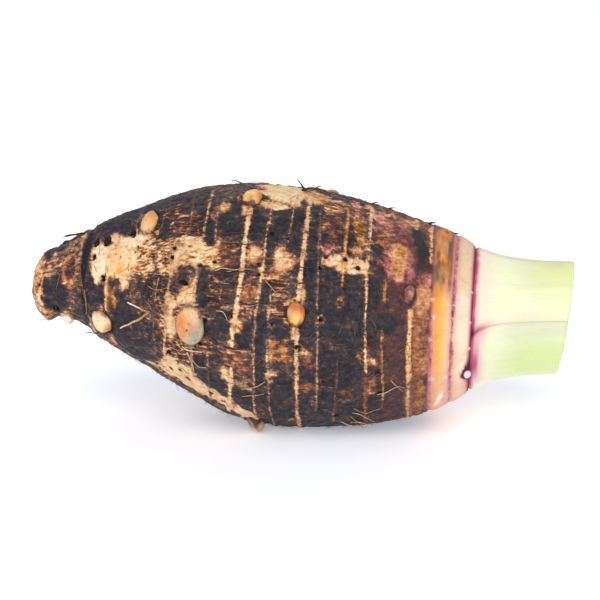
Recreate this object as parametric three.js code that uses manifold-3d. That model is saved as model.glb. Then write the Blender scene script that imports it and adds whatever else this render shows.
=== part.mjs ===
// A taro corm lying on its side: the swollen, ringed stem of the plant with its side buds, one dry forked
// rootlet, and the cut stub of its leaf stalks. Millimetres, +Z up, +X towards the leaf stalks.
// Places on the skin are given as a distance from the root tip and an angle round the corm:
// 0 degrees faces the front (-Y), 90 faces up.

import * as THREE from 'three';
import { mergeVertices } from 'three/addons/utils/BufferGeometryUtils.js';
import Module from 'manifold-3d';

const wasm = await Module();
wasm.setup();

// ---------------------------------------------------------------- driving dimensions

const CORM_RADIUS = 47.6; // at the fattest place
const CORM_LENGTH = 177; // root tip to crown
const STUB_LENGTH = 39; // crown to the top edge of the cut
const LEAN = THREE.MathUtils.degToRad(1.8); // the crown end lies a little lower than the tip
const BELLY_PRESS = 0.9; // how much of the round belly the flat it rests on takes away
const GAP = 0.3; // clearance between neighbouring pieces

// Blunt dead end at the root tip, an elliptical cap.
const TIP = { length: 9, radius: 14.4, height: 1.8 };

// Sections of the corm: distance from the tip, radius, height of the section's centre above the axis.
const CORM_SECTIONS = [
  [TIP.length, TIP.radius, TIP.height],
  [21, 18.8, 4.9],
  [30, 24.2, 4.3],
  [44, 30.9, 4.1],
  [62, 39.2, 2.8],
  [80, 45.4, 0.2],
  [100, CORM_RADIUS, -1.8],
  [124, 45.6, -3.0],
  [150, 40.0, -4.1],
  [168, 33.8, -4.1],
  [CORM_LENGTH, 28.8, -3.6],
];

// Sections of the leaf-stalk stub, measured like the corm's.
const STUB_SECTIONS = [
  [CORM_LENGTH, 28.8, -3.6],
  [186, 25.4, -2.9],
  [198, 23.3, -2.2],
  [CORM_LENGTH + STUB_LENGTH, 22.4, -1.2],
];
const CUT_SLANT = 5; // the cut's lower edge is this much nearer the crown than its upper edge

// Leaf stalks, as shares of the stub's radius.
const OUTER_WALL = { back: 0.38, margin: 0.08 }; // thick behind, thin at the two margins that lap over
const INNER_ROOM = 0.195; // depth that the lapped margins of the outer stalk take at the seam
const INNER_WALL = { back: 0.29, margin: 0.09 };
const HEART_RADIUS = 0.5;
const SEAM = { root: 1, end: 12, bend: 7 }; // degrees at the crown and further out; bend is in mm
const LAP = 14; // degrees by which one margin of the outer stalk lies over the other

// Side buds: distance from the tip, angle, length along the corm, width round it, height above the skin.
const BUDS = [
  [109, 12, 7.2, 9, 4.4],
  [68.2, -4, 13, 16, 3.2],
  [31.3, -24, 10, 10, 4.4],
  [48.3, 62, 8, 12, 2.8],
  [88.2, 74, 8, 12, 3.0],
  [38.5, 33, 9, 12, 1.5],
  [152, 28, 5, 7.5, 1.8],
  [92.6, -64, 8, 8.5, 4.2],
  [15.3, -52, 5, 6, 2.2],
  [60, 152, 9, 12, 3.0],
  [79, 208, 13, 14, 3.2],
  [99, 168, 8, 11, 3.8],
  [121, 226, 7.5, 10, 3.4],
  [137, 178, 6, 9, 2.6],
  [46, 232, 8, 10, 3.0],
  [117, 118, 7, 10, 3.0],
];
const BUD_LEAN = 0.35; // how far a bud's tip leans towards the crown, per mm of height

// Forked rootlet: points as distance from the tip, angle and height above the skin.
const ROOTLET_RADIUS = 0.55;
const ROOTLET_LONG_ARM = [[52, -2, 0.2], [50, -5, 1.5], [46, -11, 2.3], [40, -19, 2.9]];
const ROOTLET_SHORT_ARM = [[51.6, -2.6, 0.8], [48, -0.8, 2.2], [43, 1.6, 3.2]];

// ---------------------------------------------------------------- colours and finishes

const finish = (color, roughness) => new THREE.MeshStandardMaterial({ color, roughness, metalness: 0 });

// ---------------------------------------------------------------- shape of the sections

// A smooth curve through rows of [position, value...], read at one position.
function along(rows, position, column) {
  const slope = (i) => (rows[i + 1][column] - rows[i][column]) / (rows[i + 1][0] - rows[i][0]);
  const last = rows.length - 2;
  let i = 0;
  while (i < last && rows[i + 1][0] < position) i += 1;
  const width = rows[i + 1][0] - rows[i][0];
  const tangent = (k) => {
    if (k === 0) return slope(0);
    if (k > last) return slope(last);
    const before = rows[k][0] - rows[k - 1][0];
    const after = rows[k + 1][0] - rows[k][0];
    return (slope(k - 1) * after + slope(k) * before) / (before + after);
  };
  const t = (position - rows[i][0]) / width;
  const rise = t * t * (3 - 2 * t);
  const start = t * (1 - t) * (1 - t) * width * tangent(i);
  const end = t * t * (t - 1) * width * tangent(i + 1);
  return rows[i][column] * (1 - rise) + rows[i + 1][column] * rise + start + end;
}

function cormRadius(x) {
  if (x >= TIP.length) return along(CORM_SECTIONS, x, 1);
  return TIP.radius * Math.sqrt(1 - ((TIP.length - x) / TIP.length) ** 2);
}

const cormHeight = (x) => (x < TIP.length ? TIP.height : along(CORM_SECTIONS, x, 2));

// The corm isn't quite round: two and three shallow lobes turn slowly along it.
const lobes = (x, angle) => 1 + 0.009 * Math.cos(2 * angle + x / 60) + 0.006 * Math.cos(3 * angle - x / 45);

// A point at an angle round a section: x along the corm, radius and height of that section.
function round(x, radius, height, angle) {
  return new THREE.Vector3(x, -radius * Math.cos(angle), height + radius * Math.sin(angle));
}

function skinPoint(x, degrees, lift = 0) {
  const angle = THREE.MathUtils.degToRad(degrees);
  return round(x, cormRadius(x) * lobes(x, angle) + lift, cormHeight(x), angle);
}

// Outward direction of the skin, from its slopes along and round the corm.
function skinNormal(x, degrees) {
  const step = 0.5;
  const lengthwise = skinPoint(x + step, degrees).sub(skinPoint(x - step, degrees));
  const sideways = skinPoint(x, degrees + step).sub(skinPoint(x, degrees - step));
  return sideways.cross(lengthwise).normalize();
}

// ---------------------------------------------------------------- solids

// One closed solid through a row of outlines, each a closed loop of the same number of points that turns
// anticlockwise seen from +X. The first and last outlines are filled in as flat ends.
function loft(outlines) {
  const count = outlines[0].length;
  const positions = outlines.flat().flatMap((p) => [p.x, p.y, p.z]);
  const index = [];
  for (let s = 0; s + 1 < outlines.length; s += 1) {
    for (let i = 0; i < count; i += 1) {
      const a = s * count + i;
      const b = s * count + ((i + 1) % count);
      index.push(a, b, b + count, a, b + count, a + count);
    }
  }
  const fill = (outline) => THREE.ShapeUtils.triangulateShape(outline.map((p) => new THREE.Vector2(p.y, p.z)), []);
  const lastStart = (outlines.length - 1) * count;
  for (const [a, b, c] of fill(outlines[0])) index.push(a, c, b);
  for (const [a, b, c] of fill(outlines.at(-1))) index.push(lastStart + a, lastStart + b, lastStart + c);
  const geometry = new THREE.BufferGeometry();
  geometry.setAttribute('position', new THREE.Float32BufferAttribute(positions, 3));
  geometry.setIndex(index);
  return geometry;
}

// A closed mesh as a manifold solid: shared points merged, and triangles without area left out.
function toSolid(geometry) {
  const bare = geometry.clone();
  bare.deleteAttribute('normal');
  bare.deleteAttribute('uv');
  const merged = mergeVertices(bare, 1e-4);
  const kept = [];
  for (let i = 0; i < merged.index.count; i += 3) {
    const [a, b, c] = [0, 1, 2].map((k) => merged.index.getX(i + k));
    if (a !== b && b !== c && c !== a) kept.push(a, b, c);
  }
  const vertProperties = new Float32Array(merged.attributes.position.array);
  return new wasm.Manifold(new wasm.Mesh({ numProp: 3, vertProperties, triVerts: new Uint32Array(kept) }));
}

function toGeometry(solid) {
  const { vertProperties, triVerts } = solid.getMesh();
  const geometry = new THREE.BufferGeometry();
  geometry.setAttribute('position', new THREE.BufferAttribute(vertProperties, 3));
  geometry.setIndex(new THREE.BufferAttribute(triVerts, 1));
  return geometry;
}

// ---------------------------------------------------------------- corm

const AROUND = 64;
const TIP_STEPS = 7;
const CORM_STEPS = 32;

// The corm's outer shape, grown outwards by a clearance.
function cormGeometry(grow = 0) {
  const places = [];
  for (let i = 0; i < TIP_STEPS; i += 1) {
    const quarter = ((i + 0.5) / TIP_STEPS) * (Math.PI / 2);
    places.push(TIP.length * (1 - Math.cos(quarter)));
  }
  for (let i = 0; i <= CORM_STEPS; i += 1) {
    places.push(TIP.length + ((CORM_LENGTH - TIP.length) * i) / CORM_STEPS);
  }
  return loft(places.map((x) => Array.from({ length: AROUND }, (_, i) => skinPoint(x, (-i * 360) / AROUND, grow))));
}

// Height of the resting surface above the leaning corm's axis frame.
function restingHeight() {
  const leaning = cormGeometry().rotateY(LEAN);
  leaning.computeBoundingBox();
  return leaning.boundingBox.min.z + BELLY_PRESS;
}

// A block that fills everything under the resting surface, in the corm's own leaning frame.
function ground(clearance = 0) {
  const size = 400;
  const block = new THREE.BoxGeometry(size, size, size);
  block.translate(size / 4, 0, restingHeight() + clearance - size / 2);
  return toSolid(block.rotateY(-LEAN));
}

const corm = () => toGeometry(toSolid(cormGeometry()).subtract(ground()));

// ---------------------------------------------------------------- leaf stalks

const STALK_STEPS = 8;
const STALK_SIDES = 36;

const stubRadius = (x) => along(STUB_SECTIONS, x, 1);
const stubHeight = (x) => along(STUB_SECTIONS, x, 2);

// Where the seam of the outer stalk runs, in degrees, at a distance from the tip.
function seamAt(x) {
  return SEAM.end + (SEAM.root - SEAM.end) * Math.exp((CORM_LENGTH - x) / SEAM.bend);
}

// Places along the stub from the crown to the slanted cut, for a point at a height above the axis.
function stubPlace(step, height) {
  const share = step / STALK_STEPS;
  const full = stubRadius(CORM_LENGTH + STUB_LENGTH);
  const cut = STUB_LENGTH - (CUT_SLANT * (full - height)) / (2 * full);
  return CORM_LENGTH + GAP + (cut - GAP) * share;
}

// Loft of a stalk: section(x) gives its closed outline as [angle in degrees, radius] pairs.
function stalk(section) {
  const outlines = [];
  for (let step = 0; step <= STALK_STEPS; step += 1) {
    const level = stubPlace(step, 0);
    const height = stubHeight(level);
    outlines.push(section(level).map(([degrees, radius]) => {
      const point = round(level, radius, height, THREE.MathUtils.degToRad(degrees));
      point.x = stubPlace(step, point.z - height);
      return point;
    }));
  }
  return loft(outlines);
}

// A wall round the stub from one margin to the other: angles run from start to start + turn degrees.
// outer(share) and wall(share) give its outer radius and thickness at a share of that turn.
function wallOutline(start, turn, outer, wall) {
  const shares = Array.from({ length: STALK_SIDES + 1 }, (_, i) => i / STALK_SIDES);
  const outside = shares.map((share) => [start + turn * share, outer(share)]);
  const inside = shares.map((share) => [start + turn * share, outer(share) - wall(share)]);
  return [...outside.reverse(), ...inside];
}

const swell = (share) => Math.sin(Math.PI * share) ** 2;

// The outer stalk wraps right round. Its upper margin dips under the lower one at the seam.
function outerLeafStalk() {
  return stalk((x) => {
    const radius = stubRadius(x);
    const margin = OUTER_WALL.margin * radius;
    const turn = 360 + LAP;
    const dip = (share) => {
      const past = THREE.MathUtils.clamp((share * turn - LAP) / LAP, 0, 1);
      return (margin + GAP) * (1 - past * past * (3 - 2 * past));
    };
    const wall = (share) => margin + (OUTER_WALL.back - OUTER_WALL.margin) * radius * swell(share);
    return wallOutline(seamAt(x) - LAP, turn, (share) => radius - dip(share), wall);
  });
}

// The inner stalk fits in the outer one's hollow, thick where that is thin, and open behind.
function innerLeafStalk() {
  return stalk((x) => {
    const radius = stubRadius(x);
    const slit = 8;
    const turn = 360 - slit;
    const start = seamAt(x) - 180 + slit / 2;
    const room = INNER_ROOM * radius + GAP;
    const outer = (share) => radius - room - (OUTER_WALL.back * radius + GAP - room) * (1 - swell(share));
    const wall = (share) => (INNER_WALL.margin + (INNER_WALL.back - INNER_WALL.margin) * swell(share)) * radius;
    return wallOutline(start, turn, outer, wall);
  });
}

function heartLeafStalk() {
  return stalk((x) => {
    const radius = HEART_RADIUS * stubRadius(x) - GAP;
    return Array.from({ length: STALK_SIDES }, (_, i) => [(-i * 360) / STALK_SIDES, radius]);
  });
}

// ---------------------------------------------------------------- side buds

const BUD_SIDES = 14;
const BUD_STEPS = 7;

// An egg that sits half sunk in the skin; what is inside the corm is cut away.
function sideBud([x, degrees, length, width, height], cormWithGap, groundWithGap) {
  const sunk = 0.35 * height;
  const profile = Array.from({ length: BUD_STEPS + 1 }, (_, i) => {
    const turn = (Math.PI * i) / BUD_STEPS;
    return new THREE.Vector2(Math.sin(turn) * (1 + 0.12 * Math.cos(turn)), -Math.cos(turn));
  });
  const egg = new THREE.LatheGeometry(profile, BUD_SIDES);
  egg.rotateX(Math.PI / 2).scale(length / 2, width / 2, height + sunk);
  const spots = egg.attributes.position;
  for (let i = 0; i < spots.count; i += 1) {
    spots.setX(i, spots.getX(i) + BUD_LEAN * Math.max(spots.getZ(i), 0));
  }
  const up = skinNormal(x, degrees);
  const forward = new THREE.Vector3(1, 0, 0).addScaledVector(up, -up.x).normalize();
  const side = up.clone().cross(forward);
  const place = new THREE.Matrix4().makeBasis(forward, side, up);
  place.setPosition(skinPoint(x, degrees).addScaledVector(up, -sunk));
  egg.applyMatrix4(place);
  return toGeometry(toSolid(egg).subtract(cormWithGap).subtract(groundWithGap));
}

// ---------------------------------------------------------------- forked rootlet

function rootletArm(points) {
  const path = new THREE.CatmullRomCurve3(points.map(([x, degrees, lift]) => skinPoint(x, degrees, lift)));
  const section = new THREE.Shape();
  section.absarc(0, 0, ROOTLET_RADIUS, 0, 2 * Math.PI);
  const options = { steps: 2 * points.length, curveSegments: 6, extrudePath: path, bevelEnabled: false };
  return toSolid(new THREE.ExtrudeGeometry(section, options));
}

function forkedRootlet(cormWithGap) {
  const arms = rootletArm(ROOTLET_LONG_ARM).add(rootletArm(ROOTLET_SHORT_ARM));
  return toGeometry(arms.subtract(cormWithGap));
}

// ---------------------------------------------------------------- scene graph

const barkFinish = finish(0x3d3431, 0.85);
const stalkFinish = finish(0xe3ecb4, 0.45);
const budFinish = finish(0xdf9a5c, 0.6);
const rootletFinish = finish(0xc9a27a, 0.8);

function piece(name, geometry, material) {
  const mesh = new THREE.Mesh(geometry, material.clone());
  mesh.name = name;
  return mesh;
}

const cormWithGap = toSolid(cormGeometry(GAP));
const groundWithGap = ground(GAP);

const leaning = new THREE.Group();
leaning.rotation.y = LEAN;
leaning.add(piece('corm', corm(), barkFinish));
leaning.add(piece('outer_leaf_stalk', outerLeafStalk(), stalkFinish));
leaning.add(piece('inner_leaf_stalk', innerLeafStalk(), stalkFinish));
leaning.add(piece('heart_leaf_stalk', heartLeafStalk(), stalkFinish));
BUDS.forEach((bud, i) => {
  const number = String(i + 1).padStart(2, '0');
  leaning.add(piece(`side_bud_${number}`, sideBud(bud, cormWithGap, groundWithGap), budFinish));
});
leaning.add(piece('forked_rootlet', forkedRootlet(cormWithGap), rootletFinish));

// The origin is the middle of the footprint box, on the surface that the belly rests on.
const taro = new THREE.Group();
taro.add(leaning);
taro.updateMatrixWorld(true);
const box = new THREE.Box3().setFromObject(taro, true);
const middle = box.getCenter(new THREE.Vector3());
leaning.position.set(-middle.x, -middle.y, -box.min.z);

export default taro;
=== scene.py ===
"""A taro root lying on its side: a corm with dark, corky bark, cream leaf-scar rings and side buds, dry
rootlets and root hairs, and the cut stub of its pale green leaf stalks.

Shapes are worked out in millimetres and made in metres. A place on the skin is a distance along the corm
from the root tip and an angle round it: 0 degrees faces the front (-Y), 90 faces up.
"""
import functools
import itertools
import math

import bpy
import numpy as np
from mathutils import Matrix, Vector


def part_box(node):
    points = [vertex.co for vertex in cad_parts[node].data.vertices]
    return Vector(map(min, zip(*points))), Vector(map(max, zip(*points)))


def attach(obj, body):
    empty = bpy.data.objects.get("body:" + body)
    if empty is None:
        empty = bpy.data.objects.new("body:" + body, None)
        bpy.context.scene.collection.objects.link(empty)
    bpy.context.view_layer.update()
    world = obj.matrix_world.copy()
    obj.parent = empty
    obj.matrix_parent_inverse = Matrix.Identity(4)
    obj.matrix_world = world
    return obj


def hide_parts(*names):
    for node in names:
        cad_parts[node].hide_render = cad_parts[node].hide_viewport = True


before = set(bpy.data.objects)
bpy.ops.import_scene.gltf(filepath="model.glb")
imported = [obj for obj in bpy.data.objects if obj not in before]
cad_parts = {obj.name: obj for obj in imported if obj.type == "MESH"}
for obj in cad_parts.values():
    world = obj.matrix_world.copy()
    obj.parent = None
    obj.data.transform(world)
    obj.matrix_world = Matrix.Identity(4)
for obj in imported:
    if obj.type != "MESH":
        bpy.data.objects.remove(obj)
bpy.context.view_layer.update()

MM = 0.001

# ---------------------------------------------------------------- the shape of the corm and its stub

CORM_RADIUS = 47.6
CORM_LENGTH = 177.0
STUB_LENGTH = 39.0
LEAN = math.radians(1.8)
TIP_LENGTH, TIP_RADIUS, TIP_HEIGHT = 9.0, 14.4, 1.8
# The middle of the gold band by the crown, and the angle in the middle of the side that faces the front.
GOLD_BAND = 164.8
FACING = 8
# Farther than anything on the skin is from the next thing like it.
FAR = 30.0

# Distance from the root tip, radius, height of the section's centre above the axis.
CORM_SECTIONS = (
    (TIP_LENGTH, TIP_RADIUS, TIP_HEIGHT),
    (21, 18.8, 4.9),
    (30, 24.2, 4.3),
    (44, 30.9, 4.1),
    (62, 39.2, 2.8),
    (80, 45.4, 0.2),
    (100, CORM_RADIUS, -1.8),
    (124, 45.6, -3.0),
    (150, 40.0, -4.1),
    (168, 33.8, -4.1),
    (CORM_LENGTH, 28.8, -3.6),
)
STUB_SECTIONS = (
    (CORM_LENGTH, 28.8, -3.6),
    (186, 25.4, -2.9),
    (198, 23.3, -2.2),
    (CORM_LENGTH + STUB_LENGTH, 22.4, -1.2),
)


def along(rows, place, column):
    """A smooth curve through rows of (place, value...), read at an array of places."""
    at = np.array([r[0] for r in rows], float)
    value = np.array([r[column] for r in rows], float)
    width = np.diff(at)
    slope = np.diff(value) / width
    tangent = np.empty_like(value)
    tangent[0], tangent[-1] = slope[0], slope[-1]
    tangent[1:-1] = (slope[:-1] * width[1:] + slope[1:] * width[:-1]) / (width[1:] + width[:-1])
    i = np.clip(np.searchsorted(at, place) - 1, 0, len(rows) - 2)
    t = (place - at[i]) / width[i]
    rise = t * t * (3 - 2 * t)
    start = t * (1 - t) ** 2 * width[i] * tangent[i]
    end = t * t * (t - 1) * width[i] * tangent[i + 1]
    return value[i] * (1 - rise) + value[i + 1] * rise + start + end


def corm_radius(place):
    cap = TIP_RADIUS * np.sqrt(np.clip(1 - ((TIP_LENGTH - place) / TIP_LENGTH) ** 2, 0, 1))
    return np.where(place < TIP_LENGTH, cap, along(CORM_SECTIONS, np.maximum(place, TIP_LENGTH), 1))


def corm_height(place):
    return np.where(place < TIP_LENGTH, TIP_HEIGHT, along(CORM_SECTIONS, np.maximum(place, TIP_LENGTH), 2))


def ring_point(place, radius, height, degrees):
    """Points at angles round sections, as an array with x, y, z last."""
    angle = np.radians(degrees)
    place, radius, height, angle = np.broadcast_arrays(place, radius, height, angle)
    return np.stack([place, -radius * np.cos(angle), height + radius * np.sin(angle)], -1)


def skin_point(place, degrees, lift=0.0):
    """Points on the smooth skin of the corm, a little less than round, lifted by so many mm."""
    place, degrees = np.broadcast_arrays(np.asarray(place, float), np.asarray(degrees, float))
    angle = np.radians(degrees)
    lobes = 1 + 0.009 * np.cos(2 * angle + place / 60) + 0.006 * np.cos(3 * angle - place / 45)
    return ring_point(place, corm_radius(place) * lobes + lift, corm_height(place), degrees)


def unit(v):
    return v / np.maximum(np.linalg.norm(v, axis=-1, keepdims=True), 1e-9)


def skin_normal(place, degrees):
    place, degrees = np.asarray(place, float), np.asarray(degrees, float)
    lengthwise = skin_point(place + 0.4, degrees) - skin_point(np.maximum(place - 0.4, 0.02), degrees)
    sideways = skin_point(place, degrees + 0.5) - skin_point(place, degrees - 0.5)
    return unit(np.cross(lengthwise, sideways))


def leaned(points):
    """From the corm's own axis to the leaning way it lies."""
    x, z = points[..., 0], points[..., 2]
    cos, sin = math.cos(LEAN), math.sin(LEAN)
    return np.stack([x * cos + z * sin, points[..., 1], -x * sin + z * cos], -1)


def resting_place():
    """What moves the leaned shape to where the corm lies: above the belly, both have the same box."""
    low, high = (np.array(corner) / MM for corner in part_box("corm"))
    places, degrees = np.meshgrid(np.linspace(0.1, CORM_LENGTH, 400), np.arange(0, 360, 1.0))
    shape = leaned(skin_point(places, degrees)).reshape(-1, 3)
    across = (low + high - shape.min(0) - shape.max(0)) / 2
    return np.array([across[0], across[1], high[2] - shape[:, 2].max()])


REST = resting_place()


def laid(points, lowest=0.0):
    """Points on the corm's own axis, in mm, where they lie in the finished object, none of them lower than
    so many mm above the floor."""
    places = leaned(np.asarray(points, float)) + REST
    places[..., 2] = np.maximum(places[..., 2], lowest)
    return places


# ---------------------------------------------------------------- numbers that look grown

def blobs(points, size, seed):
    """Smooth noise from -1 to 1; its blobs are about `size` mm across, or one size for each axis."""
    spot = points / np.asarray(size, float)
    cell = np.floor(spot).astype(np.int64)
    f = spot - cell
    f = f * f * f * (f * (f * 6 - 15) + 10)
    total = 0
    for corner in itertools.product((0, 1), repeat=3):
        c = cell + np.array(corner)
        h = (c[..., 0] * 73856093) ^ (c[..., 1] * 19349663) ^ (c[..., 2] * 83492791) ^ (seed * 97531)
        h = ((h ^ (h >> 13)) * 1274126177) & 0xFFFFFFFF
        value = ((h ^ (h >> 15)) & 0xFFFF) / 32767.5 - 1
        total = total + value * np.prod(np.where(np.array(corner) == 1, f, 1 - f), axis=-1)
    return total


def cloud(points, size, seed, octaves=3):
    """Several sizes of blobs added up, each half as big and half as strong as the last."""
    size = np.asarray(size, float)
    parts = [blobs(points + 17.3 * k, size / 2 ** k, seed + k) * 0.5 ** k for k in range(octaves)]
    return 1.3 * sum(parts) / sum(0.5 ** k for k in range(octaves))


def step(low, high, value):
    """0 below low, 1 above high, smooth between."""
    t = np.clip((value - low) / (high - low), 0, 1)
    return t * t * (3 - 2 * t)


def hump(value, width):
    return np.exp(-((value / width) ** 2))


# ---------------------------------------------------------------- colours

def linear(colour):
    """An sRGB hex colour as linear red, green, blue."""
    parts = [int(colour[i:i + 2], 16) / 255 for i in (1, 3, 5)]
    return np.array([c / 12.92 if c <= 0.04045 else ((c + 0.055) / 1.055) ** 2.4 for c in parts])


def rgba(colour):
    return (*linear(colour), 1.0)


def blend(a, b, share):
    """Colour arrays a and b mixed by a share for each point."""
    share = np.asarray(share)[..., None]
    return a * (1 - share) + b * share


def layered(colour, *layers):
    """A colour array with others laid over it in turn, each with its share for each point."""
    for over, share in layers:
        over = linear(over) if isinstance(over, str) else over
        colour = blend(colour, over, np.clip(share, 0, 1))
    return colour


# ---------------------------------------------------------------- what grows on the skin

# Leaf-scar rings: distance from the tip at the front, how far they drift upwards and downwards, width in
# mm, how much bark is left on them, their tint, and the stretches, in degrees, where they show in front.
# Behind, they fade in and out by chance.
RINGS = (
    (20.8, 0.6, 0.4, 1.6, 0.25, "plain", ((36, 84),)),
    (23.2, 0.6, 0.4, 2.2, 1.10, "plain", ((-70, 88),)),
    (33.2, 0.2, 2.0, 1.2, 0.06, "plain", ((-10, 46),)),
    (34.4, 0.2, 2.0, 1.3, 0.30, "honey", ((-12, 12),)),
    (44.6, 0.4, 0.4, 0.8, 0.42, "plain", ((-4, 16), (52, 75))),
    (53.2, 1.4, 0.6, 0.8, 0.40, "plain", ((-22, 40), (50, 64))),
    (58.4, 4.6, -1.4, 1.5, 0.24, "plain", ((-38, 44),)),
    (64.2, 1.4, 0.0, 0.9, 0.40, "plain", ((46, 84),)),
    (69.3, 3.2, -0.6, 1.3, 0.24, "plain", ((-42, -13), (8, 30), (46, 86))),
    (75.6, 1.0, 0.2, 1.0, 0.28, "plain", ((-60, -14), (44, 64))),
    (85.9, 3.4, -3.2, 2.0, 0.12, "plain", ((-60, -20), (-8, 66))),
    (93.8, 3.6, 0.0, 0.9, 0.16, "plain", ((-90, 70),)),
    (98.8, 2.4, 1.6, 0.9, 0.22, "plain", ((-80, -3), (8, 22))),
    (102.6, 3.4, 0.0, 0.9, 0.22, "plain", ((46, 84),)),
    (109.4, 2.2, 0.6, 1.9, 0.16, "plain", ((18, 84),)),
    (110.1, 2.2, 0.6, 1.8, 0.20, "plain", ((-78, 5),)),
    (117.9, -1.9, 0.0, 1.0, 0.32, "plain", ((-42, 8), (15, 72))),
    (126.0, 0.6, -2.0, 0.9, 0.40, "plain", ((-56, -9),)),
    (126.3, 0.3, 0.0, 1.5, 0.22, "honey", ((27, 77),)),
    (136.5, -1.3, 0.2, 1.2, 0.14, "plain", ((-17, 90),)),
    (136.4, 0.0, 0.4, 1.8, 0.42, "rust", ((-62, -20),)),
    (142.7, 0.6, 0.8, 1.0, 0.24, "honey", ((-44, 7), (19, 34), (78, 92))),
    (152.9, 0.8, 0.6, 2.4, 0.14, "honey", ((-24, 19),)),
    (152.7, 0.8, 0.4, 1.2, 0.20, "plain", ((-80, -20),)),
    (152.0, 1.2, 0.6, 1.8, 0.18, "plain", ((74, 96),)),
    (159.2, 0.0, 0.6, 1.6, 0.12, "honey", ((50, 92),)),
    (161.4, -1.6, 0.0, 0.9, 0.55, "blush", ((-80, 18),)),
    (169.0, 0.5, 0.4, 1.2, 0.55, "blush", ((-85, 110),)),
)

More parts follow.
